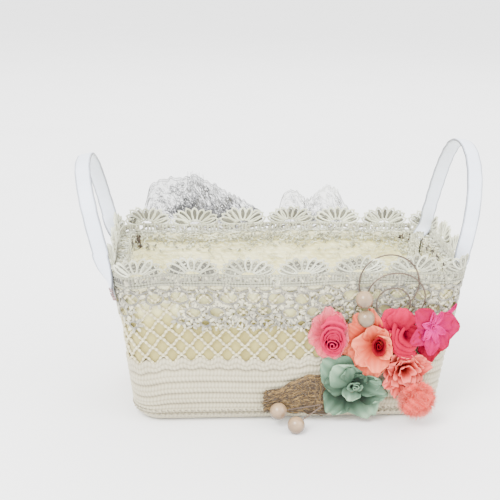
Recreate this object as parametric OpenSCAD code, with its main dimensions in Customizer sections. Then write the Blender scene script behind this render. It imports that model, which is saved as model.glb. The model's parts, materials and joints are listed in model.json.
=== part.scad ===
// Flower girl basket: a soft rectangular basket of crochet and lace over a stiff former, with a
// padded strap handle at each end and a corsage of cloth flowers on the front.
// +Z is up, -Y is the front, and the origin is the centre of the foot on the table.

/* [Basket] */
// Width across the rim, along X
rim_w = 243; // [228:1:256]
// Depth across the rim, along Y
rim_d = 129; // [120:1:136]
// Width across the foot, along X
foot_w = 215; // [205:1:225]
// Depth across the foot, along Y
foot_d = 114; // [108:1:120]
// Height of the rim line, where the width and depth across the rim are taken
rim_h = 112; // [108:1:116]
// Height of the bound edge of the walls, at the foot of the standing lace
bound_h = 106; // [102:1:107]
// Plan radius of the upright corners
corner_r = 20; // [18:1:24]
// Radius that rounds the foot into the walls
foot_r = 9; // [8:1:11]

/* [Lace and crochet] */
// Height of the ribbed crochet above the table
crochet_h = 48.5; // [44:0.5:54]
// Number of horizontal crochet ribs
rib_count = 5; // [4:1:7]
// Depth of the grooves between the ribs
rib_groove = 1.2; // [0.6:0.1:1.4]
// Lower edge of the floral lace overlay
overlay_z = 75; // [60:1:84]
// Height of the scalloped lace that stands above the bound edge
trim_h = 18; // [14:1:19]
// Number of scallops round the standing lace
scallop_count = 19; // [15:1:27]

/* [Handles] */
// Width of the padded strap
strap_w = 11; // [9:0.5:11]
// Thickness of the padded strap
strap_t = 2.4; // [2:0.1:2.6]
// Half the distance between the two ends of one handle, along Y
handle_reach = 51; // [46:1:52]
// Height of the left arch above its fold line
left_arch_h = 54; // [48:1:70]
// Height of the right arch above its fold line
right_arch_h = 65; // [48:1:70]
// Outward lean of the left handle, in degrees
left_lean = 14; // [2:1:16]
// Outward lean of the right handle, in degrees
right_lean = 8; // [2:1:16]

/* [Corsage] */
// Diameter of each pearl
pearl_d = 12; // [10:0.5:12]
// Diameter of the decorative wire
wire_d = 1; // [0.8:0.1:1.2]

/* [Hidden] */

// Segments in one rounded corner of the walls
arc_n = 8;
// Layers of the wall, from the outside in, as distances in from the outer wall line
overlay_out = -0.3;
overlay_in = 0.6;
net_in = 2.4;
cover_out = 2.6;
cover_in = 3.4;
former_out = 3.6;
former_in = 4.8;
lining_out = 5.0;
lining_in = 5.8;
binding_in = 7.2;
// Heights of the floor layers
crochet_base_t = 3;
board_z = 3.2;
board_t = 2;
lining_floor_z = 5.4;
lining_floor_t = 0.8;
// Clearance between layers that only touch
gap = 0.2;
// Room that the crochet ribs take from the foot up
rib_h = (crochet_h - foot_r) / rib_count;
binding_leg = 6;
// Fold line of each handle: its height, and its distance outside the rim line at each end
fold_z = bound_h + trim_h + 1;
left_fold_out = 8;
right_fold_out = -2.5;
// Sewn ends of the straps: outside the lace on the left, and inside the lining on the right
tab_low_z = 86;
tab_high_z = 98;
tab_out = 0.6 + strap_t / 2;
// Inside ends lie across the corners: their distance from the corner's centre, and their turn
tab_r = sqrt(pow(corner_r - binding_in, 2) - pow(strap_w / 2, 2)) - strap_t / 2 - gap;
tab_turn = 22;
// Shape of each arch, from 0.5, square-shouldered, to 1, round
left_shoulder = 0.75;
right_shoulder = 0.9;
// Where the first scallop starts, in scallops from the front of the right end
scallop_shift = 0.13;
// Half width of the slot in the standing lace at each leg of the right handle
slot_half = 4;

// Half width and half depth of the outer wall line at height z
function wall_x(z) = (foot_w + (rim_w - foot_w) * min(z, rim_h) / rim_h) / 2;
function wall_y(z) = (foot_d + (rim_d - foot_d) * min(z, rim_h) / rim_h) / 2;

// Rounded outline of the walls at height z, set in by inset
function wall_ring(inset, z) = let (
        hx = wall_x(z) - inset, hy = wall_y(z) - inset, r = max(corner_r - inset, 4))
    [for (quarter = [0:3]) let (
            sx = (quarter == 0 || quarter == 3) ? 1 : -1, sy = quarter < 2 ? 1 : -1)
        for (i = [0:arc_n]) let (a = 90 * quarter + 90 * i / arc_n)
            [sx * (hx - r) + r * cos(a), sy * (hy - r) + r * sin(a), z]];

// Point at the fraction u of the way round an outline of half sizes hx and hy
function outline_point(hx, hy, r, u) = let (
        side = 2 * (hy - r), front = 2 * (hx - r), arc = PI * r / 2,
        half = side + front + 2 * arc,
        turn = u >= 0.5 ? -1 : 1,
        s = (u - (u >= 0.5 ? 0.5 : 0)) * 2 * half,
        g = s < side + arc ? 90 * (s - side) / arc : 90 + 90 * (s - side - arc - front) / arc)
    turn * (s < side ? [hx, s - side / 2]
        : s < side + arc ? [hx - r + r * cos(g), hy - r + r * sin(g)]
        : s < side + arc + front ? [hx - r - (s - side - arc), hy]
        : [r - hx + r * cos(g), hy - r + r * sin(g)]);

// Triangles between each ring of n points and the next, out of m rings; closed joins last to first
function ring_faces(m, n, closed) = [
    for (j = [0:m - (closed ? 1 : 2)], i = [0:n - 1]) let (k = (j + 1) % m, h = (i + 1) % n)
        each [[j * n + i, k * n + i, k * n + h], [j * n + i, k * n + h, j * n + h]]];

function flatten(rings) = [for (ring = rings) for (p = ring) p];

// Wall layer: a closed profile of [inset, z] pairs taken round the basket
module band(profile) {
    rings = [for (p = profile) wall_ring(p[0], p[1])];
    polyhedron(flatten(rings), ring_faces(len(rings), len(rings[0]), true), convexity = 6);
}

// Solid swept through a list of equal rings, with flat ends
module sweep(rings) {
    m = len(rings);
    n = len(rings[0]);
    faces = concat(
        ring_faces(m, n, false),
        [[for (i = [0:n - 1]) i], [for (i = [n - 1:-1:0]) (m - 1) * n + i]]);
    polyhedron(flatten(rings), faces, convexity = 6);
}

// Wall layer with a floor: the profile runs up the outside and down the inside
module tub(profile) {
    sweep([for (p = profile) wall_ring(p[0], p[1])]);
}

// Straight round rod from a to b
module rod(a, b, r) {
    d = b - a;
    translate(a)
        rotate([0, acos(d[2] / norm(d)), atan2(d[1], d[0])])
            cylinder(r = r, h = norm(d), $fn = 24);
}

// Flat plate with round corners, from its half sizes
module plate(hx, hy, r, t) {
    linear_extrude(height = t)
        union() {
            square([2 * hx, 2 * (hy - r)], center = true);
            square([2 * (hx - r), 2 * hy], center = true);
            for (sx = [-1, 1], sy = [-1, 1])
                translate([sx * (hx - r), sy * (hy - r)]) circle(r = r, $fn = 48);
        }
}

// ---- Basket ----

module base_board() {
    color("tan")
        translate([0, 0, board_z])
            plate(wall_x(0) - foot_r - 1, wall_y(0) - foot_r - 1, corner_r - foot_r, board_t);
}

module former_wall() {
    low_z = foot_r + 1;
    high_z = bound_h - 2.6;
    color("ivory")
        band([[former_out, low_z], [former_out, high_z], [former_in, high_z], [former_in, low_z]]);
}

module lining() {
    floor_top = lining_floor_z + lining_floor_t;
    high_z = bound_h - 2.6;
    color("lemonchiffon")
        tub([
            [foot_r + 1, lining_floor_z], [lining_out, foot_r + 1], [lining_out, high_z],
            [lining_in, high_z], [lining_in, foot_r + 1.3], [foot_r + 1.3, floor_top]]);
}

module cover_cloth() {
    low_z = foot_r + 1;
    high_z = bound_h - 2.6;
    color("cornsilk")
        band([[cover_out, low_z], [cover_out, high_z], [cover_in, high_z], [cover_in, low_z]]);
}

module rim_binding() {
    leg_z = bound_h - binding_leg;
    under_z = bound_h - 1.6;
    color("ivory")
        band([
            [overlay_in + gap, leg_z], [overlay_in + gap, bound_h - 1], [overlay_in + 1.4, bound_h],
            [binding_in - 0.8, bound_h], [binding_in, bound_h - 1], [binding_in, leg_z],
            [lining_in + gap, leg_z], [lining_in + gap, under_z],
            [cover_out - gap, under_z], [cover_out - gap, leg_z]]);
}

module crochet_base() {
    color("floralwhite")
        plate(wall_x(0) - foot_r, wall_y(0) - foot_r, corner_r - foot_r + 1, crochet_base_t);
}

module crochet_wall() {
    foot_arc = [for (a = [0:22.5:67.5])
        [foot_r * (1 - sin(a)) - gap, 0.3 + foot_r * (1 - cos(a))]];
    ribs = [for (i = [0:rib_count - 1]) let (z = foot_r + rib_h * i)
        each [[rib_groove, z + 0.05 * rib_h], [0.2, z + 0.3 * rib_h],
              [0, z + 0.5 * rib_h], [0.2, z + 0.7 * rib_h]]];
    inside = [
        [rib_groove, crochet_h], [net_in, crochet_h], [net_in, foot_r],
        [foot_r - gap, crochet_base_t]];
    color("floralwhite") band(concat(foot_arc, ribs, inside));
}

module foot_stitching() {
    bead_r = 0.55;
    bead_count = 96;
    bead_z = foot_r;
    bead_in = 0.4;
    color("antiquewhite")
        for (i = [0:bead_count - 1]) {
            p = outline_point(
                wall_x(bead_z) - bead_in, wall_y(bead_z) - bead_in, corner_r, i / bead_count);
            translate([p[0], p[1], bead_z]) sphere(r = bead_r, $fn = 16);
        }
}

module net_band() {
    low_z = crochet_h + gap;
    high_z = bound_h - binding_leg - gap;
    color("wheat")
        band([[overlay_in + gap, low_z], [overlay_in + gap, high_z], [net_in, high_z],
              [net_in, low_z]]);
}

module lace_overlay() {
    high_z = bound_h - 2;
    color("gainsboro")
        band([[overlay_out, overlay_z], [overlay_out, high_z], [overlay_in, high_z],
              [overlay_in, overlay_z]]);
}

module lace_trim() {
    steps = 12 * scallop_count;
    low_z = bound_h - 2 + gap;
    hx = wall_x(bound_h);
    hy = wall_y(bound_h);
    columns = [for (i = [0:steps - 1]) let (
            u = i / steps,
            p = outline_point(hx - overlay_out, hy - overlay_out, corner_r - overlay_out, u),
            q = outline_point(hx - overlay_in, hy - overlay_in, corner_r - overlay_in, u),
            slotted = p[0] > 0 && abs(abs(p[1]) - handle_reach) < slot_half && p[0] > hx - corner_r,
            rise = slotted ? 0.05 : 0.5 + 0.5 * abs(sin(180 * (scallop_count * u - scallop_shift))),
            top_z = bound_h + trim_h * rise)
        [[p[0], p[1], low_z], [q[0], q[1], low_z], [q[0], q[1], top_z], [p[0], p[1], top_z]]];
    color("whitesmoke")
        polyhedron(flatten(columns), ring_faces(steps, 4, true), convexity = 8);
}

// Gathered net, flat where it is sewn outside the back wall and standing in peaks behind the lace
module tulle(x_low, x_high, peaks) {
    sewn_z = 94;
    sewn_t = 1.4;
    puff_r = 2.8;
    sewn_y = wall_y(bound_h) - overlay_out + 2 * gap;
    hull() {
        translate([x_low + 6, sewn_y, sewn_z]) cube([x_high - x_low - 12, sewn_t, 1]);
        for (p = peaks)
            translate([p[0], sewn_y + puff_r, p[1]]) sphere(r = puff_r, $fn = 16);
    }
}

module tulle_left() {
    color("lavender") tulle(-96, -30, [[-90, 129], [-62, 147], [-34, 127]]);
}

module tulle_right() {
    color("lavender") tulle(6, 56, [[10, 130], [30, 138], [52, 129]]);
}

// ---- Handles ----

// Cross-section of the strap at p: width w along u, thickness t along v, with eased edges
function strap_ring(p, u, v, w, t) = [
    for (c = [[1, -0.4], [0.86, -1], [-0.86, -1], [-1, -0.4],
              [-1, 0.4], [-0.86, 1], [0.86, 1], [1, 0.4]])
        p + u * c[0] * w / 2 + v * c[1] * t / 2];

// Middle of an inside strap end at height z, along X or Y
function inside_x(z) = wall_x(min(z, bound_h)) - corner_r + tab_r * cos(tab_turn);
function inside_y(z) = wall_y(min(z, bound_h)) - corner_r + tab_r * sin(tab_turn);

// Stations of a sewn strap end at the front of a right-hand wall: height, place along X and back
// along Y, turn in degrees from flat on the wall to edge-on, and width. It narrows under the fold
// for the moving arch.
outside_stations = [
    [tab_low_z, wall_x(tab_low_z) + tab_out, handle_reach, 0, strap_w],
    [tab_high_z, wall_x(tab_high_z) + tab_out, handle_reach, 0, strap_w],
    [tab_high_z + 4, wall_x(tab_high_z + 4) + 0.6 * tab_out + 0.4 * left_fold_out,
     handle_reach, 20, strap_w],
    [tab_high_z + 8, wall_x(tab_high_z + 8) + 0.2 * tab_out + 0.8 * left_fold_out,
     handle_reach, 48, strap_w],
    [tab_high_z + 12, rim_w / 2 + left_fold_out, handle_reach, 74, strap_w],
    [tab_high_z + 15, rim_w / 2 + left_fold_out, handle_reach, 90, strap_w],
    [fold_z - 8, rim_w / 2 + left_fold_out, handle_reach, 90, 4]];
inside_stations = [
    [tab_low_z, inside_x(tab_low_z), inside_y(tab_low_z), tab_turn, strap_w],
    [bound_h, inside_x(bound_h), inside_y(bound_h), tab_turn, strap_w],
    [bound_h + 3, inside_x(bound_h) + 1.6, inside_y(bound_h) + 0.6, 42, strap_w],
    [bound_h + 6, inside_x(bound_h) + 5, handle_reach - 1.2, 68, 8],
    [bound_h + 8.5, rim_w / 2 + right_fold_out - 1.5, handle_reach - 0.4, 90, 6],
    [fold_z - 8, rim_w / 2 + right_fold_out, handle_reach, 90, 4]];

// Sewn strap end at the front of the right-hand wall
module anchor(stations) {
    sweep([for (s = stations) strap_ring(
        [s[1], -s[2], s[0]], [sin(s[3]), cos(s[3]), 0], [cos(s[3]), -sin(s[3]), 0],
        s[4], strap_t)]);
}

module left_front_anchor() {
    color("white") mirror([1, 0, 0]) anchor(outside_stations);
}

module left_back_anchor() {
    color("white") mirror([1, 0, 0]) mirror([0, 1, 0]) anchor(outside_stations);
}

module right_front_anchor() {
    color("white") anchor(inside_stations);
}

module right_back_anchor() {
    color("white") mirror([0, 1, 0]) anchor(inside_stations);
}

module anchor_stitching() {
    thread_r = 0.3;
    reach = strap_w / 2 - 1.2;
    off = strap_t / 2 + thread_r + 0.05;
    color("rosybrown")
        for (side = [-1, 1], z = [88.5, 91.5, 94.5]) {
            out_p = [-wall_x(z) - tab_out - off, side * handle_reach, z];
            in_p = [inside_x(z) - off * cos(tab_turn), side * (inside_y(z) - off * sin(tab_turn)), z];
            along = [-sin(tab_turn), side * cos(tab_turn), 0];
            rod(out_p - [0, reach, 0], out_p + [0, reach, 0], thread_r);
            rod(in_p - reach * along, in_p + reach * along, thread_r);
        }
}

// Sizes of one handle: distance of its fold outside the rim, arch height, lean and shoulder
left_handle = [left_fold_out, left_arch_h, left_lean, left_shoulder];
right_handle = [right_fold_out, right_arch_h, right_lean, right_shoulder];

// Ring of a right-hand handle at angle a of its arch, dropped below the fold by drop
function arch_ring(handle, a, drop, w, t) = let (
        y = handle_reach * sign(cos(a)) * pow(abs(cos(a)), handle[3]),
        rise = handle[1] * pow(max(sin(a), 0), 0.86) - drop,
        lean = handle[2],
        up = [sin(lean), 0, cos(lean)],
        n = [0, cos(a), 0] + up * sin(a))
    strap_ring([rim_w / 2 + handle[0], y, fold_z] + up * rise,
        [cos(lean), 0, -sin(lean)], n / norm(n), w, t);

// The strap's ends are rounded about the fold line: drop, and share of the full width
end_drops = [[5.2, 0.2], [4.4, 0.6], [2.8, 0.86]];

function reversed(list) = [for (i = [len(list) - 1:-1:0]) list[i]];

function arch_rings(handle, w, t) = concat(
    [for (e = end_drops) arch_ring(handle, 0, e[0], w * e[1], t)],
    [for (a = [0:5:180]) arch_ring(handle, a, 0, w, t)],
    [for (e = reversed(end_drops)) arch_ring(handle, 180, e[0], w * e[1], t)]);

// Stiff strip inside the strap, which makes the handle stand
module handle_core(handle) {
    sweep([for (a = [5:5:175]) arch_ring(handle, a, 0, strap_w - 4, strap_t - 1.6)]);
}

// Padded tube of cloth, open at both sewn ends
module handle_sleeve(handle) {
    outside = arch_rings(handle, strap_w, strap_t);
    inside = [for (a = [0:5:180]) arch_ring(handle, a, 0, strap_w - 3.6, strap_t - 1.2)];
    rings = concat(outside, reversed(inside));
    polyhedron(flatten(rings), ring_faces(len(rings), len(rings[0]), true), convexity = 6);
}

module left_handle_sleeve() {
    color("white") mirror([1, 0, 0]) handle_sleeve(left_handle);
}

module left_handle_core() {
    color("lightsteelblue") mirror([1, 0, 0]) handle_core(left_handle);
}

module right_handle_sleeve() {
    color("white") handle_sleeve(right_handle);
}

module right_handle_core() {
    color("lightsteelblue") handle_core(right_handle);
}

// ---- Corsage ----

// How far in front of the wall line the felt and the flowers' backs lie
felt_out = 0.6;
felt_t = 2;
flower_out = 5;

// Place on the front, at x and z, standing out from the wall by out
function on_front(x, z, out) = [x, -wall_y(z) - out, z];

// Turns a shape that is drawn facing up so that it faces the front
module facing(x, z, out) {
    translate(on_front(x, z, out)) rotate([90, 0, 0]) children();
}

// Open cup of rolled petals with a hollow for the heart
module petal_cup(r, depth) {
    rotate_extrude($fn = 64)
        polygon([
            [0, 0], [0.45 * r, 0], [0.8 * r, 0.3 * depth], [r, 0.85 * depth], [0.9 * r, depth],
            [0.66 * r, 0.62 * depth], [0.5 * r, 0.36 * depth], [0, 0.36 * depth]]);
}

// Closed heart of a rose, which stands in its cup
module heart(r, depth) {
    translate([0, 0, 0.36 * depth + 0.1])
        rotate_extrude($fn = 48)
            polygon([
                [0, 0], [0.4 * r, 0], [0.48 * r, 0.2 * depth], [0.44 * r, 0.45 * depth],
                [0.26 * r, 0.62 * depth], [0, 0.66 * depth]]);
}

// Flat blossom of five round petals about an open middle
module blossom(r, t) {
    petal_r = 0.42 * r;
    difference() {
        linear_extrude(height = t)
            union() {
                circle(r = 0.45 * r, $fn = 48);
                for (a = [18:72:306])
                    rotate(a) translate([r - petal_r, 0]) circle(r = petal_r, $fn = 48);
            }
        translate([0, 0, 0.4 * t]) cylinder(r = 0.3 * r, h = t, $fn = 48);
    }
}

module blossom_centre(r, t) {
    translate([0, 0, 0.4 * t + 0.1]) cylinder(r = 0.28 * r, h = 0.9 * t, $fn = 32);
}

// Flower places: x, z and radius
mint = [41, 30, 20];
pink = [26, 72, 13];
peach = [55, 62, 14];
left_blossom = [79, 71, 9];
right_blossom = [101, 68, 12];
carnation = [76, 42, 11];
puff = [86, 19, 11.5];

module mint_rose_petals() {
    color("mediumaquamarine") facing(mint[0], mint[1], flower_out) petal_cup(mint[2], 17);
}

module mint_rose_centre() {
    color("aquamarine") facing(mint[0], mint[1], flower_out) heart(mint[2], 17);
}

module pink_rose_petals() {
    color("pink") facing(pink[0], pink[1], flower_out) petal_cup(pink[2], 15);
}

module pink_rose_bud() {
    color("hotpink") facing(pink[0], pink[1], flower_out) heart(pink[2], 15);
}

module peach_rose_petals() {
    color("peachpuff") facing(peach[0], peach[1], flower_out) petal_cup(peach[2], 19);
}

module peach_rose_heart() {
    color("crimson") facing(peach[0], peach[1], flower_out) heart(peach[2], 19);
}

module left_blossom_petals() {
    color("deeppink") facing(left_blossom[0], left_blossom[1], flower_out)
        blossom(left_blossom[2], 14);
}

module left_blossom_centre() {
    color("crimson") facing(left_blossom[0], left_blossom[1], flower_out)
        blossom_centre(left_blossom[2], 14);
}

module right_blossom_petals() {
    color("hotpink") facing(right_blossom[0], right_blossom[1], flower_out)
        blossom(right_blossom[2], 14);
}

module right_blossom_centre() {
    color("mediumvioletred") facing(right_blossom[0], right_blossom[1], flower_out)
        blossom_centre(right_blossom[2], 14);
}

module peach_carnation() {
    layers = 3;
    color("lightsalmon")
        facing(carnation[0], carnation[1], flower_out)
            for (i = [0:layers - 1])
                translate([0, 0, 5 * i]) cylinder(r1 = 5, r2 = carnation[2] - 1.5 * i, h = 5, $fn = 48);
}

module coral_puff() {
    color("coral")
        translate(on_front(puff[0], puff[1], flower_out + puff[2])) sphere(r = puff[2], $fn = 64);
}

module corsage_backing() {
    tilt = atan((rim_d - foot_d) / 2 / rim_h);
    color("palegreen")
        translate(on_front(63, 48.5, felt_out))
            rotate([90 + tilt, 0, 0]) plate(42, 31.5, 14, felt_t);
}

module flower_stems() {
    color("darkolivegreen")
        for (f = [mint, pink, peach, left_blossom, right_blossom, carnation, puff])
            rod(on_front(f[0], f[1], felt_out + felt_t + 0.4), on_front(f[0], f[1], flower_out - 0.1),
                1.2);
}

module burlap_ribbon() {
    strip_l = 38;
    strip_w = 20;
    strip_t = 1.5;
    tilt = atan((rim_d - foot_d) / 2 / rim_h);
    color("burlywood")
        translate(on_front(-16, 4, strip_t + 0.5))
            rotate([tilt, 0, 0]) cube([strip_l, strip_t, strip_w]);
}

// Pearl places
upper_pearl_at = on_front(47, 96.5, 11.5);
middle_pearl_at = on_front(49, 82.5, 11.5);
side_pearl_at = [-8, -66.4, 11.8];
front_pearl_at = [3.4, -76.5, pearl_d / 2];

module pearl(at) {
    color("linen") translate(at) sphere(d = pearl_d, $fn = 64);
}

module upper_pearl() {
    pearl(upper_pearl_at);
}

module middle_pearl() {
    pearl(middle_pearl_at);
}

module side_pearl() {
    pearl(side_pearl_at);
}

module front_pearl() {
    pearl(front_pearl_at);
}

module pearl_stems() {
    stem_r = 0.5;
    reach = pearl_d / 2 + 0.1;
    root = [22, -68, 17];
    to_side = root - side_pearl_at;
    to_front = root - front_pearl_at;
    color("saddlebrown") {
        for (at = [upper_pearl_at, middle_pearl_at])
            rod(at + [0, reach, 0], at + [0, reach + 2, 0], stem_r);
        rod(side_pearl_at + to_side * reach / norm(to_side), root - [1, 0, 0], stem_r);
        rod(front_pearl_at + to_front * reach / norm(to_front), root + [0, -2, 0], stem_r);
    }
}

// Open loop of wire in front of the lace: centre, half width, half height, and distance out
module wire_loop(x, z, half_w, half_h, out) {
    sides = 8;
    sweep([for (a = [-50:8:230]) let (
            tangent = [-half_w * sin(a), 0, half_h * cos(a)],
            n = [tangent[2], 0, -tangent[0]] / norm(tangent))
        [for (i = [0:sides - 1]) let (b = 360 * i / sides)
            [x + half_w * cos(a), -wall_y(rim_h) - out, z + half_h * sin(a)]
            + n * cos(b) * wire_d / 2 + [0, sin(b), 0] * wire_d / 2]]);
}

module outer_wire_loop() {
    color("saddlebrown") wire_loop(65, 105, 20.5, 20, 1.8);
}

module middle_wire_loop() {
    color("saddlebrown") wire_loop(70, 95, 20, 17.5, 3.2);
}

module inner_wire_loop() {
    color("saddlebrown") wire_loop(68, 91.5, 11.5, 11, 5);
}

module stem_tip() {
    color("saddlebrown") rod(on_front(107, 84, 6), on_front(114.5, 94, 6), 0.8);
}

base_board();
former_wall();
lining();
cover_cloth();
rim_binding();
crochet_base();
crochet_wall();
foot_stitching();
net_band();
lace_overlay();
lace_trim();
tulle_left();
tulle_right();
left_front_anchor();
left_back_anchor();
right_front_anchor();
right_back_anchor();
anchor_stitching();
left_handle_sleeve();
left_handle_core();
right_handle_sleeve();
right_handle_core();
corsage_backing();
flower_stems();
burlap_ribbon();
mint_rose_petals();
mint_rose_centre();
pink_rose_petals();
pink_rose_bud();
peach_rose_petals();
peach_rose_heart();
peach_carnation();
coral_puff();
left_blossom_petals();
left_blossom_centre();
right_blossom_petals();
right_blossom_centre();
upper_pearl();
middle_pearl();
side_pearl();
front_pearl();
pearl_stems();
outer_wire_loop();
middle_wire_loop();
inner_wire_loop();
stem_tip();
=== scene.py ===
"""Looks of the flower girl basket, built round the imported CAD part.
Lengths in the shape code are millimetres."""
import json
import math

import bpy
import numpy as np
from mathutils import Matrix, Vector

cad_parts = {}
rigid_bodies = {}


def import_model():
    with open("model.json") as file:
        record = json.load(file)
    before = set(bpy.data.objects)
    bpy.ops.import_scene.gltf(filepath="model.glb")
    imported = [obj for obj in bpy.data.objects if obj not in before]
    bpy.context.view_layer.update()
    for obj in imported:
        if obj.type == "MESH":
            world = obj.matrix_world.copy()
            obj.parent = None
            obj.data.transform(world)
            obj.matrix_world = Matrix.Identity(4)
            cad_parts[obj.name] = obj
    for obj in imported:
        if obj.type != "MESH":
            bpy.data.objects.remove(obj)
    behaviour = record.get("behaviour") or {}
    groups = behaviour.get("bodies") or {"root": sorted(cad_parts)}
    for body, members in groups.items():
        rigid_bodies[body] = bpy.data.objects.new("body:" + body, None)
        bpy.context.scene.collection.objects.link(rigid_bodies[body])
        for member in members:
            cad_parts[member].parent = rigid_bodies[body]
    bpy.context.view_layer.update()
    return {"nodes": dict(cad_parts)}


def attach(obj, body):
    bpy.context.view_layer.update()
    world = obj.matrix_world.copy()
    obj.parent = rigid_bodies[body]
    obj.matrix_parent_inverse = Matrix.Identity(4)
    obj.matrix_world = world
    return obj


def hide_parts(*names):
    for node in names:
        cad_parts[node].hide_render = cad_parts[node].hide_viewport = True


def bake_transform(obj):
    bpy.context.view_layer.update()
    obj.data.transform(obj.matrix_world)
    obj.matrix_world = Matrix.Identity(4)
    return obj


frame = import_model()

MM = 0.001
UP = np.array([0, 0, 1.0])
CIRCLE = 2 * math.pi

# Sizes of the basket, the same as in the CAD part
RIM_W, RIM_D, FOOT_W, FOOT_D, RIM_H = 243, 129, 215, 114, 112
CORNER_R, FOOT_R = 20, 9
CROCHET_H = 48.5
SCALLOPS, SCALLOP_SHIFT = 19, 0.13


# ---------------------------------------------------------------- shapes

class Shells:
    """Closed shells gathered into one mesh, with a tone from 0 to 1 on each vertex."""

    def __init__(self):
        self.verts, self.faces, self.tones, self.count = [], [], [], 0

    def add(self, verts, faces, tone=0.5):
        verts = np.asarray(verts, float).reshape(-1, 3)
        n = len(verts)
        self.verts.append(verts)
        self.tones.append(np.broadcast_to(np.asarray(tone, float).reshape(-1), (n,)))
        self.faces.append((self.count, faces))
        self.count += n

    def build(self, name, material, warp=None):
        verts = np.concatenate(self.verts)
        if warp is not None:
            verts = warp(verts)
        faces = []
        for start, group in self.faces:
            if isinstance(group, np.ndarray):
                faces.extend((group + start).tolist())
            else:
                faces.extend([[i + start for i in f] for f in group])
        mesh = bpy.data.meshes.new(name)
        mesh.from_pydata((verts * MM).tolist(), [], faces)
        tone = mesh.attributes.new("tone", "FLOAT", "POINT")
        tone.data.foreach_set("value", np.concatenate(self.tones).astype(np.float32))
        mesh.validate()
        mesh.polygons.foreach_set("use_smooth", np.ones(len(mesh.polygons), bool))
        obj = bpy.data.objects.new(name, mesh)
        bpy.context.scene.collection.objects.link(obj)
        mesh.materials.append(material)
        return obj


def unit(v):
    """Vectors made one long."""
    return v / np.maximum(np.linalg.norm(v, axis=-1, keepdims=True), 1e-9)


def carried(path, closed):
    """Sideways directions along a path that turn as little as they can."""
    t = unit(np.roll(path, -1, 0) - np.roll(path, 1, 0)) if closed else unit(np.gradient(path, axis=0))
    first = UP if abs(t[0, 2]) < 0.9 else np.array([1.0, 0, 0])
    ups = [unit(first - t[0] * (first @ t[0]))]
    for i in range(1, len(path)):
        up = ups[-1] - t[i] * (ups[-1] @ t[i])
        ups.append(unit(up))
    return t, np.array(ups)


def tube(shells, path, radius, sides=6, closed=False, up=None, flat=1.0, tone=0.5):
    """A round or flattened tube along a path. up gives the direction of its short side."""
    path = np.asarray(path, float)
    n = len(path)
    t, ups = carried(path, closed)
    if up is not None:
        ups = unit(up - t * np.sum(up * t, axis=1, keepdims=True))
    side = np.cross(t, ups)
    r = np.broadcast_to(np.asarray(radius, float), (n,))[:, None, None]
    a = np.arange(sides) * CIRCLE / sides
    rings = path[:, None] + r * (
        np.cos(a)[None, :, None] * side[:, None] + flat * np.sin(a)[None, :, None] * ups[:, None])
    faces = ring_quads(n, sides, closed)
    caps = [] if closed else [list(range(sides))[::-1], [(n - 1) * sides + i for i in range(sides)]]
    shells.add(rings, faces.tolist() + caps, np.repeat(np.broadcast_to(tone, (n,)), sides))


def ring_quads(rings, n, closed):
    """Faces between rings of n points each; closed joins the last ring to the first."""
    j = np.arange(rings if closed else rings - 1)[:, None]
    i = np.arange(n)[None]
    k, h = (j + 1) % rings, (i + 1) % n
    quads = np.stack([j * n + i, j * n + h, k * n + h, k * n + i], -1)
    return quads.reshape(-1, 4)


def shell(shells, grid, thickness, tone=0.5, wrap=False):
    """A grid of points (rows, columns, 3) made into a thin closed sheet.
    wrap joins its last column to its first."""
    grid = np.asarray(grid, float)
    m, n = grid.shape[:2]
    along = np.gradient(grid, axis=0)
    if wrap:
        across = np.roll(grid, -1, 1) - np.roll(grid, 1, 1)
    else:
        across = np.gradient(grid, axis=1)
    normal = unit(np.cross(across, along))
    t = np.broadcast_to(np.asarray(thickness, float), (m, n))[..., None] / 2
    both = np.concatenate([grid + normal * t, grid - normal * t]).reshape(-1, 3)
    i = np.arange(m - 1)[:, None]
    j = np.arange(n if wrap else n - 1)[None]
    h = (j + 1) % n
    top = np.stack([i * n + j, i * n + h, (i + 1) * n + h, (i + 1) * n + j], -1).reshape(-1, 4)
    under = top[:, ::-1] + m * n
    j = np.arange(n if wrap else n - 1)
    h = (j + 1) % n
    low = np.stack([h, j, j + m * n, h + m * n], -1)
    high = np.stack([j, h, h + m * n, j + m * n], -1) + (m - 1) * n
    faces = [top, under, low, high]
    if not wrap:
        i = np.arange(m - 1) * n
        faces.append(np.stack([i, i + n, i + n + m * n, i + m * n], -1))
        i = i + n - 1
        faces.append(np.stack([i + n, i, i + m * n, i + n + m * n], -1))
    tones = np.broadcast_to(np.asarray(tone, float), (m, n))
    shells.add(both, np.concatenate(faces), np.concatenate([tones, tones]).reshape(-1))


def ball_faces(rows, columns):
    """Faces of a ball of points: a pole, rows - 1 rings of points and the other pole."""
    last = 1 + (rows - 1) * columns
    base = last - columns
    faces = [[0, 1 + j, 1 + (j + 1) % columns] for j in range(columns)]
    for i in range(rows - 2):
        for j in range(columns):
            a, b = 1 + i * columns + j, 1 + i * columns + (j + 1) % columns
            faces.append([a, a + columns, b + columns, b])
    return faces + [[base + (j + 1) % columns, base + j, last] for j in range(columns)]


def blob(shells, centre, axes, rows=6, columns=8, tone=0.5):
    """An ellipsoid from its centre and its three half axes, as rows of a matrix."""
    verts = [[0, 0, 1.0]]
    for i in range(1, rows):
        a = math.pi * i / rows
        for j in range(columns):
            b = CIRCLE * j / columns
            verts.append([math.sin(a) * math.cos(b), math.sin(a) * math.sin(b), math.cos(a)])
    verts.append([0, 0, -1.0])
    verts = np.array(verts) @ np.asarray(axes, float) + np.asarray(centre, float)
    shells.add(verts, ball_faces(rows, columns), tone)


def knot(shells, at, along, out, sizes, tone):
    """A small flat knot of thread that lies along one direction and faces out."""
    blob(shells, at, [along * sizes[0], np.cross(out, along) * sizes[1], out * sizes[2]], 4, 5, tone=tone)


def smoothed(rows):
    """Rows of numbers, each but the ends averaged twice with its neighbours."""
    for _ in range(2):
        rows[1:-1] = 0.25 * rows[:-2] + 0.5 * rows[1:-1] + 0.25 * rows[2:]
    return rows


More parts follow.
